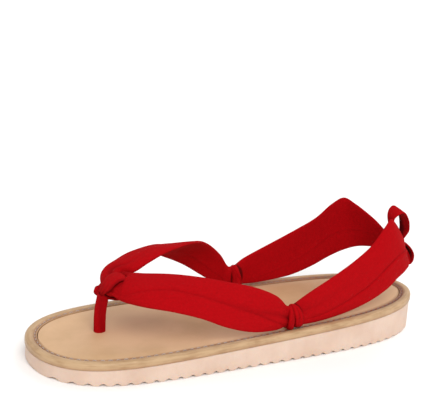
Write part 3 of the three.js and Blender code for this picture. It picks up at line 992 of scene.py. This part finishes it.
@dataclass
class ClothStrap:
    """A flattened cloth tube between an upper and a lower edge, with creases and gathers at its ends.

    Attributes:
        rows: upper edge, lower edge, and thickness with crown, from one end to the other.
        face: 1 or -1, to turn the creased face outwards.
        folds: the creases along it.
        ties: middle and half sizes of each knot that the strap goes into, where painted shade darkens it.
        gathers: depth of the pleats at its start and end, in millimetres.
        gather_reach: share of its length over which each fades.
        pleats: half waves across it.
        full_dent: depth in millimetres at which a crease's painted shade is darkest.
        inner_dent: share of the creases' depth on the inner face, and inner_shade the same for their painted shade.
        edge_guard: how soon the creases fade towards the edges.
        slack: height of the cloth's own small waves, in millimetres.
        tie_shade: painted shade at a knot, which fades over tie_reach, a share of the knot's size.
    """

    rows: list[tuple[np.ndarray, np.ndarray, np.ndarray]]
    face: int
    folds: list[Fold] = field(default_factory=list)
    ties: list[tuple[np.ndarray, tuple[float, float, float]]] = field(default_factory=list)
    gathers: tuple[float, float] = (0.5, 0.5)
    gather_reach: tuple[float, float] = (0.12, 0.12)
    pleats: float = 3.2
    full_dent: float = 1.6
    inner_dent: float = 0.25
    inner_shade: float = 0.4
    edge_guard: float = 1.6
    slack: float = 0.22
    tie_shade: float = 0.75
    tie_reach: float = 0.09
    row_steps: int = 200
    round_steps: int = 176

    def skin(self) -> Skin:
        """Carries a squared-off oval along the strap and presses the folds into it.

        Its width lies from the lower to the upper edge and its thickness across that and the run. The crown lifts
        the middle of both faces, and pleats near the ends are waves across the strap that fade away from them.

        Returns:
            The strap's surface.
        """
        upper, lower, shape = (np.stack(column) for column in zip(*self.rows))
        share = np.linspace(0, 1, self.row_steps)
        top, bottom, sizes = spline(upper, share), spline(lower, share), spline(shape, share)
        middle = (top + bottom) / 2
        across = top - bottom
        half = np.linalg.norm(across, axis=1) / 2
        across = unit(across)
        ahead = unit(np.gradient(middle, axis=0))
        through = unit(np.cross(across, ahead)) * self.face
        place, lift, outside = flat_oval(self.round_steps)
        lift = lift * sizes[:, :1] / 2
        bulge = sizes[:, 1:] * (1 - place ** 2)
        dent = sum((fold.dent(share, place, half) for fold in self.folds), np.zeros((self.row_steps, 1)))
        weight = np.where(outside, 1.0, self.inner_dent)
        weight = weight * np.minimum(1, np.abs(lift) / (sizes[:, :1] / 2) * self.edge_guard)
        start = self.gathers[0] * np.exp(-((share / self.gather_reach[0]) ** 1.3))
        end = self.gathers[1] * np.exp(-(((1 - share) / self.gather_reach[1]) ** 1.3))
        gather = (start + end)[:, None]
        wave = waves(math.pi * self.pleats * place + 1.4 * np.sin(7 * share)[:, None])
        offset = lift + bulge - dent * weight - gather * wave * weight
        grid = sweep(middle, across, through, place * half[:, None], offset)
        slack = ripple(grid, (23.0, 17.0, 31.0, 11.0)) * self.slack
        grid = grid + through[:, None] * (slack * weight)[..., None]
        # Painted shade in the creases and pleats, weaker on the inner face, and where the strap goes into a knot.
        deep = (np.clip(dent, 0, self.full_dent) / self.full_dent) ** 2 + gather * wave * 0.3
        shade = np.clip(deep * np.where(outside, 1.0, self.inner_shade), 0, 0.85)
        for centre, half_size in self.ties:
            away = np.linalg.norm((grid - centre) / np.array(half_size), axis=-1) - 1
            shade = np.maximum(shade, self.tie_shade * np.exp(-((np.maximum(away, 0) / self.tie_reach) ** 2)))
        return Skin(grid, False, shade)


@dataclass
class ClothStrand:
    """An oval ring of rolled cloth round a centre, in the plane of two directions."""

    centre: np.ndarray
    first: np.ndarray
    second: np.ndarray
    half_first: float
    half_second: float
    radius: float
    pleat: float = 0.12
    shade: float = 0.25
    steps: int = 96
    round_steps: int = 28

    def skin(self) -> Skin:
        """Carries an oval section round an oval path, with shallow pleats that wander along it.

        Returns:
            The strand's surface.
        """
        first, second = unit(self.first), unit(self.second)
        beside = unit(np.cross(first, second))
        turn = turns(self.steps)[:, None]
        path = (self.centre + self.half_first * np.cos(turn) * first + self.half_second * np.sin(turn) * second)
        outward = unit(np.cos(turn) / max(self.half_first, 0.1) * first + np.sin(turn) / self.half_second * second)
        angle = turns(self.round_steps)[None, :]
        pleats = waves(3 * angle + 2 * np.sin(turn) + 1.0)
        reach = self.radius * (1 - self.pleat * pleats)
        grid = sweep(path, outward, beside, reach * np.cos(angle), reach * np.sin(angle))
        # Painted shade in the pleats' troughs.
        return Skin(grid, True, pleats * self.shade)


@dataclass
class ClothTube:
    """A round cloth cord along a few points."""

    points: list[np.ndarray]
    radius: float
    pleat: float = 0.06
    shade: float = 0.3
    steps: int = 60
    round_steps: int = 28

    def skin(self) -> Skin:
        """Carries a circle along a smooth route, with three shallow pleats along it.

        Returns:
            The cord's surface.
        """
        path = spline(np.stack(self.points), np.linspace(0, 1, self.steps))
        ahead = unit(np.gradient(path, axis=0))
        beside = unit(np.cross(ahead, AHEAD + 0.3 * SIDEWAYS))
        other = np.cross(ahead, beside)
        angle = turns(self.round_steps)[None, :]
        pleats = waves(3 * angle + 3 * np.linspace(0, 1, self.steps)[:, None])
        reach = self.radius * (1 - self.pleat * pleats)
        grid = sweep(path, beside, other, reach * np.cos(angle), reach * np.sin(angle))
        # Painted shade in the pleats' troughs.
        return Skin(grid, False, pleats * self.shade)


def lump(centre: np.ndarray, radii: tuple[float, float, float], pleat: float = 0.08, rows: int = 48,
         columns: int = 64) -> Skin:
    """A rounded lump of cloth: an oval ball whose surface has a few soft pleats from pole to pole.

    Args:
        centre: its middle.
        radii: its half sizes along X, Y and Z.
        pleat: depth of the pleats as a share of its size.
        rows: points from pole to pole.
        columns: points round it.

    Returns:
        The surface.
    """
    polar = np.linspace(0.02, math.pi - 0.02, rows)[:, None]
    angle = turns(columns)[None, :]
    pleats = waves(5 * angle + 2 * polar)
    reach = 1 - pleat * pleats * np.sin(polar)
    ball = np.stack([np.sin(polar) * np.cos(angle) * reach, np.sin(polar) * np.sin(angle) * reach,
                     np.repeat(np.cos(polar), columns, axis=1)], axis=-1)
    # Painted shade in the pleats' troughs.
    return Skin(centre + ball * np.array(radii), False, pleats * 0.3)


@dataclass
class SideKnot:
    """A knot at the edge of the footbed: strands round the pinched straps, and a tail into the footbed.

    Each row of strands gives a strand's turn outwards in radians, how far it lies ahead of the knot's middle and
    above it, and how much its upright leans ahead.
    """

    side: Side
    behind: float = 20.0
    overlap: float = 0.5
    sink: float = 0.9
    tall: float = 11.2
    deep: float = 6.8
    core: float = 4.6
    strand_radius: float = 1.95
    strand_turn: float = 0.6
    strands: tuple[tuple[float, float, float, float], ...] = (
        (-0.3, 1.8, -0.75, 0.04), (0.0, -1.05, 0.3, 0.3), (0.35, -2.2, 0.25, 0.3))
    anchor_radius: float = 2.8
    anchor_inset: float = 0.8

    def centre(self) -> np.ndarray:
        """The knot's middle, on the inner edge of the rim.

        Returns:
            The point.
        """
        x = np.array(-self.behind)
        reach = SOLE.half_width(x) - SOLE.rim_width + self.overlap
        rise = SOLE.wedge_top(x) + 2 * SOLE.clearance + SOLE.rim_height + self.tall / 2 + self.strand_radius
        return np.array([x, self.side.value * reach, rise - self.sink])

    def end_row(self, share: float, lift: float = 0.0) -> tuple[np.ndarray, np.ndarray, np.ndarray]:
        """A strap's pinched row at a share of the knot's half length ahead of its middle.

        Args:
            share: how far ahead.
            lift: how much higher the upper edge lies there, in millimetres.

        Returns:
            Upper edge, lower edge, and thickness with crown.
        """
        spread = self.deep / 2 * math.sin(self.strand_turn) + self.strand_radius
        centre = self.centre() + AHEAD * share * spread
        half = UP * PINCH_HEIGHT / 2
        return centre + half + UP * lift, centre - half, np.array([PINCH_THICKNESS, 0.0])

    def tie(self) -> tuple[np.ndarray, tuple[float, float, float]]:
        """The knot's middle and its half sizes."""
        reach = self.deep / 2 + self.strand_radius
        return self.centre() - AHEAD * 0.4, (reach - 0.6, reach, self.tall / 2 + self.strand_radius)

    def build(self, material: bpy.types.Material) -> None:
        """Makes the knot and its tail as one piece.

        Args:
            material: the piece's material.
        """
        centre = self.centre()
        skins = [lump(centre, (self.core / 2, self.deep / 2, self.tall / 2))]
        for turn, ahead, rise, slant in self.strands:
            outward = SIDEWAYS * self.side.value * math.cos(turn) - AHEAD * math.sin(turn)
            middle = centre + AHEAD * ahead + UP * rise
            skins.append(ClothStrand(middle, outward, UP + slant * AHEAD, self.deep / 2, self.tall / 2,
                                     self.strand_radius).skin())
        inset = SOLE.rim_width + 2 * SOLE.clearance + self.anchor_inset + self.anchor_radius
        x = np.array(-self.behind)
        spot_y = self.side.value * (SOLE.half_width(x) - inset)
        ground = SOLE.wedge_top(x - self.anchor_radius) + SOLE.clearance
        tail = [np.array([x, (spot_y + centre[1]) / 2, centre[2]]),
                np.array([x, spot_y, SOLE.footbed_top(x) + SOLE.clearance]), np.array([x, spot_y, ground])]
        skins.append(ClothTube(tail, self.anchor_radius).skin())
        node = "side_knot_lateral" if self.side is Side.OUTER else "side_knot_medial"
        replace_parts(make_piece(f"knot_{self.side.name.lower()}", skins, material), node)


@dataclass
class ToeLoop:
    """The toe post and the loop that it closes over the two arms."""

    post_ahead: float = 82.0
    post_aside: float = -5.0
    post_radius: float = 3.5
    post_bend: float = 0.6
    back: float = 6.0
    rise: float = 26.8
    length: float = 14.0
    height: float = 10.0
    pitch: float = 0.88
    thickness: float = 1.8
    band: float = 13.0
    taper: float = 0.5
    shift: float = 5.5
    swell: float = 0.7
    steps: int = 160
    round_steps: int = 72

    @property
    def long(self) -> np.ndarray:
        """Direction of the loop's long axis, forwards and down."""
        return np.array([math.cos(self.pitch), 0.0, -math.sin(self.pitch)])

    @property
    def through(self) -> np.ndarray:
        """Direction of the loop's short axis, forwards and up."""
        return np.array([math.sin(self.pitch), 0.0, math.cos(self.pitch)])

    def centre(self) -> np.ndarray:
        """The loop's middle."""
        x = np.array(self.post_ahead - self.back)
        return np.array([x, self.post_aside, SOLE.footbed_top(x) + self.rise])

    def end_row(self, side: Side, share: float, tuck: float = 0.0) -> tuple[np.ndarray, np.ndarray, np.ndarray]:
        """An arm's row inside the loop.

        Args:
            side: the arm's side.
            share: how far towards that side, as a share of the band's width.
            tuck: how much higher the lower edge lies, in millimetres.

        Returns:
            Upper edge, lower edge, and thickness with crown.
        """
        centre = self.centre() + SIDEWAYS * (self.shift + side.value * share * self.band)
        half = -self.long * (self.length - self.thickness) / 2
        return centre + half, centre - half + UP * tuck, np.array([self.height - self.thickness - 1.3 * tuck, 0.0])

    def band_skin(self) -> Skin:
        """Carries a flat section round an oval, with soft pleats along it.

        The band widens away from the post and shifts to the outer side, and its pleats gather towards the post.

        Returns:
            The band's surface.
        """
        turn = turns(self.steps)[:, None]
        near_post = np.clip(np.cos(turn), 0, 1)
        path = (self.centre() + self.length / 2 * np.cos(turn) * self.long
                + self.height / 2 * np.sin(turn) * self.through + SIDEWAYS * self.shift * (1 - near_post ** 3))
        outward = unit(np.cos(turn) / self.length * self.long + np.sin(turn) / self.height * self.through)
        place, lift, outside = flat_oval(self.round_steps)
        width = self.band * (1 - self.taper * near_post ** 2)
        pleats = waves(math.pi * BAND_PLEATS * place + 0.8 * np.sin(turn) + 0.5)
        depth = 0.06 + 0.3 * near_post
        lift = lift * self.thickness / 2 - depth * pleats * outside + self.swell * (1 - place ** 2)
        grid = sweep(path, SIDEWAYS, outward, place * width / 2, lift)
        # Painted shade in the pleats, deeper towards the post, and along the band's edges.
        edge = np.clip(np.abs(place) * 1.2 - 0.9, 0, 1) * 1.5
        return Skin(grid, True, np.clip(pleats * depth * outside + edge * np.ones_like(turn), 0, 0.8))

    def build(self, material: bpy.types.Material) -> None:
        """Makes the post and its loop as one piece.

        Args:
            material: the piece's material.
        """
        ground = SOLE.wedge_top(np.array(self.post_ahead - self.post_radius)) + SOLE.clearance
        top = self.centre() + self.long * self.length / 2
        middle = np.array([self.post_ahead, self.post_aside, ground + self.post_bend * (top[2] - ground)])
        base = np.array([self.post_ahead, self.post_aside, ground])
        post = ClothTube([top, middle, base], self.post_radius)
        piece = make_piece("toe_loop", [self.band_skin(), post.skin()], material)
        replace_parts(piece, "toe_post")


@dataclass
class FrontArms:
    """The two padded front arms, joined inside the toe loop."""

    loop: ToeLoop
    full_rise: float = 40.0
    tuck: float = 2.1
    fold_ahead: float = 5.2
    fold_aside: float = -5.4
    fold_drop: float = -5.1
    fold_radius: float = 3.0
    fold_neck: float = 2.4
    crotch: tuple[tuple[float, float, float], ...] = ((-6.5, -3.0, 4.2), (-7.9, 2.0, 5.3), (-9.2, 5.5, 5.9))
    crotch_radius: float = 2.0
    outer_rows: tuple[EdgeRow, ...] = (
        EdgeRow(-0.036, 0.825, 0.535, -0.036, 0.885, 0.055, 0.85, 0.2),
        EdgeRow(0.018, 0.78, 0.703, 0.028, 0.915, 0.1, 0.75, 0.3),
        EdgeRow(0.083, 0.683, 0.813, 0.096, 0.925, 0.24, 0.7, 0.35),
        EdgeRow(0.141, 0.536, 0.882, 0.164, 0.87, 0.431, 0.7, 0.4),
        EdgeRow(0.193, 0.33, 0.893, 0.222, 0.742, 0.533, 0.75, 0.4),
        EdgeRow(0.24, 0.12, 0.86, 0.276, 0.548, 0.58, 0.95, 0.4),
        EdgeRow(0.27, 0.03, 0.845, 0.307, 0.25, 0.578, 1.3, 0.2),
    )
    inner_rows: tuple[EdgeRow, ...] = (
        EdgeRow(-0.036, 0.815, 0.588, -0.036, 0.885, 0.1, 0.85, 0.2),
        EdgeRow(0.016, 0.66, 0.863, 0.012, 0.885, 0.29, 0.75, 0.4),
        EdgeRow(0.072, 0.405, 1.02, 0.064, 0.857, 0.51, 0.7, 0.45),
        EdgeRow(0.132, 0.2, 1.06, 0.128, 0.76, 0.725, 0.7, 0.43),
        EdgeRow(0.176, 0.115, 1.034, 0.172, 0.68, 0.857, 0.78, 0.45),
        EdgeRow(0.22, 0.07, 0.942, 0.218, 0.645, 0.843, 0.9, 0.47),
        EdgeRow(0.256, 0.055, 0.846, 0.261, 0.575, 0.767, 1.05, 0.47),
        EdgeRow(0.278, 0.15, 0.8, 0.304, 0.41, 0.66, 1.25, 0.4),
    )

    def arm(self, side: Side, folds: list[Fold]) -> ClothStrap:
        """One arm from its knot to the loop.

        Args:
            side: the arm's side.
            folds: its creases.

        Returns:
            The strap.
        """
        knot = SideKnot(side)
        table = self.outer_rows if side is Side.OUTER else self.inner_rows
        rows = [knot.end_row(0.2), knot.end_row(1.3, 1.9)]
        rows += [row.points(side, self.full_rise) for row in table]
        tucks = (self.tuck, 0.0) if side is Side.OUTER else (0.0, self.tuck)
        rows += [self.loop.end_row(side, share, tuck) for share, tuck in zip((0.25, -0.3), tucks)]
        return ClothStrap(rows, side.value, folds, [knot.tie()])

    def build(self, material: bpy.types.Material) -> None:
        """Makes both arms and the fold that shows ahead of the loop as one piece.

        Args:
            material: the piece's material.
        """
        outer = self.arm(Side.OUTER, [
            Fold((-0.9, -0.88, -0.58, -0.17, -0.06, -0.05, -0.05, -0.36, -0.79, -0.7, -0.7),
                 (0.3, 0.5, 0.7, 0.6, 0.5, 0.55, 0.6, 0.45, 0.5, 0.5, 0.3), 0.8),
            Fold((-0.1, -0.05, 0.15, 0.35, 0.5), (0.9, 0.7, 0.2, 0.0, 0.0), 2.4),
            Fold((0.5, 0.55, 0.6, 0.62), (0.0, 0.0, 0.15, 0.5), 2.6),
        ])
        inner = self.arm(Side.INNER, [
            Fold((-0.5, -0.3, 0.0, 0.2, 0.3), (0.7, 1.0, 0.5, 0.3, 0.2), 1.6),
            Fold((0.9, 0.8, 0.7, 0.6, 0.5, 0.4), (0.0, 0.0, 0.0, 0.2, 0.9, 1.2), 1.8),
        ])
        root = self.loop.centre() + SIDEWAYS * self.fold_aside
        tip = root + AHEAD * self.fold_ahead + UP * self.fold_drop
        neck = ClothTube([root, (root + tip) / 2, tip], self.fold_neck)
        crotch = ClothTube([self.loop.centre() + np.array(place) for place in self.crotch], self.crotch_radius)
        skins = [outer.skin(), inner.skin(), neck.skin(), crotch.skin(), lump(tip, (self.fold_radius,) * 3, 0.12)]
        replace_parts(make_piece("front_arms", skins, material), "front_straps")


@dataclass
class HeelBow:
    """The knot and two standing loops that tie the heel straps together.

    The rows of each loop are explained at loop_skin.
    """

    behind: float = 117.5
    rise: float = 29.0
    knot_long: float = 6.4
    knot_wide: float = 9.0
    knot_tall: float = 9.0
    gather_height: float = 6.5
    gather_thickness: float = 2.6
    gather_sweep: float = 4.6
    lobe_share: float = 0.6
    band: float = 12.5
    thickness: float = 1.4
    hem_swell: float = 0.35
    hem_width: float = 0.12
    gather_reach: float = 0.12
    gather_depth: float = 0.5
    cup: float = 0.3
    inner_shade: float = 0.8
    light_blur: float = 0.6
    steps: int = 200
    round_steps: int = 64
    upper_lit: tuple[float, ...] = (-0.8, -0.8, -0.8, -0.75, -0.4, 0.1, 0.3)
    lower_lit: tuple[float, ...] = (0.45, 0.45)
    upper_size: tuple[float, float] = (13.0, 23.0)
    lower_size: tuple[float, float] = (9.5, 15.0)
    upper_rows: tuple[tuple[float, float, float, float], ...] = (
        (-0.1, 0.04, 0.35, 8.0), (-0.42, 0.32, 0.42, 12.0), (-0.6, 0.58, 0.52, 12.0),
        (-0.63, 0.77, 0.64, 12.0), (-0.5, 0.89, 0.78, 14.0), (-0.27, 0.962, 0.85, 12.0),
        (-0.05, 0.9, 0.88, 6.0), (0.19, 0.69, 0.87, 1.0), (0.27, 0.52, 0.86, 0.0), (0.29, 0.36, 0.8, 0.0),
        (0.16, 0.15, 0.5, 0.0), (0.08, 0.04, 0.35, 0.0),
    )
    lower_rows: tuple[tuple[float, float, float, float], ...] = (
        (0.12, 0.03, 0.3, 0.0), (0.45, -0.04, 0.55, 0.0), (0.78, -0.25, 0.9, 0.0), (0.96, -0.48, 1.0, 0.0),
        (0.98, -0.63, 1.0, 0.0), (0.93, -0.78, 1.0, 0.0), (0.74, -0.9, 1.0, 0.0), (0.64, -0.86, 0.95, 0.0),
        (0.69, -0.7, 0.9, 0.0), (0.58, -0.45, 0.75, 0.0), (0.31, -0.22, 0.5, 0.0), (-0.1, -0.2, 0.3, 0.0),
    )

    def centre(self) -> np.ndarray:
        """The bow knot's middle."""
        x = np.array(-self.behind)
        return np.array([x, 0.0, SOLE.footbed_top(x) + self.rise])

    def end_row(self, side: Side, share: float) -> tuple[np.ndarray, np.ndarray, np.ndarray]:
        """A heel strap's gathered row at a share of the knot's width towards that side.

        Args:
            side: the strap's side.
            share: how far towards it.

        Returns:
            Upper edge, lower edge, and thickness with crown.
        """
        centre = self.centre() + share * (AHEAD * self.gather_sweep + SIDEWAYS * side.value * self.knot_wide)
        half = UP * self.gather_height / 2
        return centre + half, centre - half, np.array([self.gather_thickness, 0.0])

    def loop_skin(self, rows: tuple[tuple[float, float, float, float], ...], size: tuple[float, float],
                  lit: tuple[float, ...]) -> Skin:
        """Carries a flat band along a loop in profile, wider away from the knot, with hems and a slight cup.

        Args:
            rows: shares of the loop's length behind the knot, of its height above it and of the band's width, and
                the fall of its near side in degrees.
            size: the loop's length and height.
            lit: how far across the inner face the light reaches, from 1 at its outer side, at even shares of the run.

        Returns:
            The loop's surface.
        """
        table = np.array(rows)
        share = np.linspace(0, 1, self.steps)
        route = np.stack([-table[:, 0] * size[0], np.zeros(len(table)), table[:, 1] * size[1]], -1)
        path = self.centre() + spline(route, share)
        forms = spline(np.stack([table[:, 2] * self.band, np.radians(table[:, 3]), np.zeros(len(table))], -1), share)
        width, tilt = forms[:, :1], forms[:, 1:2]
        across = np.cos(tilt) * SIDEWAYS - np.sin(tilt) * UP
        outward = unit(np.cross(unit(np.gradient(path, axis=0)), across))
        place, lift, outside = flat_oval(self.round_steps)
        hem = 0.75 + self.hem_swell * np.exp(-(((np.abs(place) - 0.8) / self.hem_width) ** 2))
        lift = lift * self.thickness / 2 * hem
        gather = np.exp(-((np.minimum(share, 1 - share) / self.gather_reach) ** 1.4))[:, None]
        pleats = waves(math.pi * BAND_PLEATS * place + 0.6)
        cup = self.cup * place ** 2 - self.gather_depth * gather * pleats
        grid = sweep(path, across, outward, place * width / 2, lift + cup)
        # Painted shade on the inner face beyond the light's reach, and in the pleats gathered at the knot.
        reach = np.interp(share, np.linspace(0, 1, len(lit)), lit)[:, None]
        inside = self.inner_shade * outside * np.clip((reach - place) / self.light_blur + 0.5, 0, 1)
        return Skin(grid, False, np.clip(gather * pleats * 0.6 + inside, 0, 0.9))

    def build(self, material: bpy.types.Material) -> None:
        """Makes the knot and both loops.

        Args:
            material: the piece's material.
        """
        high = self.loop_skin(self.upper_rows, self.upper_size, self.upper_lit)
        low = self.loop_skin(self.lower_rows, self.lower_size, self.lower_lit)
        upper = make_piece("bow_loop_high", [high], material)
        lower = make_piece("bow_loop_low", [low], material)
        long, wide, tall = self.knot_long / 2, self.knot_wide / 2, self.knot_tall / 2
        lobe = tall * self.lobe_share
        skins = [lump(self.centre(), (long * self.lobe_share, wide * self.lobe_share, tall))]
        for place in (-1, 1):
            skins.append(lump(self.centre() + UP * place * (tall - lobe), (long, wide, lobe), 0.14))
        knot = make_piece("bow_wrap", skins, material)
        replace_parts(upper, "bow_loop_upper")
        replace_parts(lower, "bow_loop_lower")
        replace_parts(knot, "bow_knot")


@dataclass
class HeelStrap:
    """A flat cloth tie from a side knot up round the heel to the bow."""

    side: Side
    bow: HeelBow
    full_rise: float = 40.0
    table: tuple[EdgeRow, ...] = (
        EdgeRow(-0.103, 0.862, 0.468, -0.106, 0.86, 0.05, 0.9, 0.1),
        EdgeRow(-0.13, 0.858, 0.549, -0.138, 0.856, 0.042, 0.8, 0.15),
        EdgeRow(-0.18, 0.847, 0.682, -0.184, 0.85, 0.055, 0.65, 0.2),
        EdgeRow(-0.243, 0.82, 0.861, -0.244, 0.838, 0.1, 0.6, 0.25),
        EdgeRow(-0.296, 0.773, 1.043, -0.304, 0.844, 0.204, 0.55, 0.3),
        EdgeRow(-0.334, 0.724, 1.26, -0.352, 0.832, 0.335, 0.55, 0.3),
        EdgeRow(-0.36, 0.65, 1.365, -0.388, 0.763, 0.44, 0.55, 0.3),
        EdgeRow(-0.386, 0.54, 1.27, -0.42, 0.679, 0.5, 0.55, 0.22),
        EdgeRow(-0.426, 0.345, 1.045, -0.452, 0.485, 0.53, 0.5, 0.04),
    )

    def build(self, material: bpy.types.Material) -> None:
        """Makes the strap with its long crease and the gathers at the bow.

        Args:
            material: the piece's material.
        """
        knot = SideKnot(self.side)
        rows = [knot.end_row(-0.2, 2.2)]
        rows += [row.points(self.side, self.full_rise) for row in self.table]
        rows += [self.bow.end_row(self.side, share) for share in (0.62, 0.15)]
        folds = [
            Fold((-0.6, -0.54, -0.59, -0.54, -0.39, -0.26, -0.2, -0.23, -0.2, -0.05, 0.1, 0.1),
                 (0.2, 0.3, 0.6, 0.7, 0.8, 0.9, 0.9, 0.9, 0.9, 0.8, 0.4, 0.1), 0.8),
            Fold((0.1, 0.2, 0.45, 0.6), (0.7, 0.3, 0.0, 0.0), 2.4),
            Fold((-0.5, -0.5, -0.5, -0.45), (0.0, 0.0, 0.2, 0.7), 2.2),
        ]
        strap = ClothStrap(rows, -self.side.value, folds, [knot.tie()], (0.5, 0.9), (0.06, 0.14))
        node = "heel_strap_lateral" if self.side is Side.OUTER else "heel_strap_medial"
        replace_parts(make_piece(f"heel_tie_{self.side.name.lower()}", [strap.skin()], material), node)


# Camera, floor and light


@dataclass
class Studio:
    """The photograph's camera, a plain pale floor and soft light."""

    eye: tuple[float, float, float] = (303.6, 528.8, 250.1)
    forward: tuple[float, float, float] = (-0.4582, -0.8490, -0.2632)
    upward: tuple[float, float, float] = (-0.0625, -0.2646, 0.9623)
    focal_pixels: float = 1094.1
    floor_colour: str = "#fbfaf9"
    floor_size: float = 12.0
    sky: float = 0.72
    key: float = 1.7
    key_from: tuple[float, float, float] = (0.2, 1.0, 0.9)
    back: float = 0.5
    back_from: tuple[float, float, float] = (-0.7, -0.4, 0.9)
    softness: float = 0.7

    def build(self) -> None:
        """Sets the camera, the floor, the world and the lamps."""
        self.set_camera()
        self.lay_floor()
        self.light()

    def set_camera(self) -> None:
        """Places the camera from its viewing direction and its upward direction."""
        lens = bpy.data.cameras.new("photo_camera")
        lens.sensor_width = SENSOR_WIDTH
        lens.lens = self.focal_pixels / PHOTO_WIDTH * SENSOR_WIDTH
        lens.clip_start = 0.01
        camera = bpy.data.objects.new("photo_camera", lens)
        forward = unit(np.array(self.forward))
        right = unit(np.cross(forward, np.array(self.upward)))
        upward = np.cross(right, forward)
        camera.matrix_world = pose(right, upward, -forward, self.eye)
        bpy.context.scene.collection.objects.link(camera)
        bpy.context.scene.camera = camera

    def lay_floor(self) -> None:
        """Lays a wide floor at height zero."""
        half = self.floor_size / 2
        mesh = bpy.data.meshes.new("studio_floor")
        mesh.from_pydata([(-half, -half, 0), (half, -half, 0), (half, half, 0), (-half, half, 0)], [], [(0, 1, 2, 3)])
        mesh.materials.append(NodeBench("matt_white_paper").close(
            Base_Color=linear(self.floor_colour), Roughness=0.95, Specular_IOR_Level=0.1))
        floor = bpy.data.objects.new("studio_floor", mesh)
        bpy.context.scene.collection.objects.link(floor)

    def light(self) -> None:
        """Lights evenly from the sky, with a wide soft sun from above the camera's left and a weaker one behind."""
        scene = bpy.context.scene
        scene.view_settings.view_transform = "Standard"
        world = bpy.data.worlds.new("soft_sky")
        world.use_nodes = True
        background = world.node_tree.nodes["Background"]
        background.inputs["Color"].default_value = linear("#ffffff")
        background.inputs["Strength"].default_value = self.sky
        scene.world = world
        for name, place, power in (("key_lamp", self.key_from, self.key), ("back_lamp", self.back_from, self.back)):
            lamp = bpy.data.lights.new(name, "SUN")
            lamp.energy = power
            lamp.angle = self.softness
            holder = bpy.data.objects.new(name, lamp)
            back = unit(np.array(place))
            right = unit(np.cross(UP, back))
            holder.matrix_world = pose(right, np.cross(back, right), back, (0.0, 0.0, 0.0))
            scene.collection.objects.link(holder)


def main() -> None:
    """Builds the camera, the sole and the straps in order."""
    logging.basicConfig(level=logging.INFO, format="%(message)s")
    Studio().build()
    cotton = DyedCotton().build()
    FoamWedge().build(CutFoam().build())
    FootbedEdge().build(RolledBinding().build(), SewingThread().build())
    FootbedPad().build(FootbedLeather().build())
    loop = ToeLoop()
    loop.build(cotton)
    FrontArms(loop).build(cotton)
    bow = HeelBow()
    bow.build(cotton)
    for side in Side:
        SideKnot(side).build(cotton)
        HeelStrap(side, bow).build(cotton)


if __name__ == "__main__":
    main()
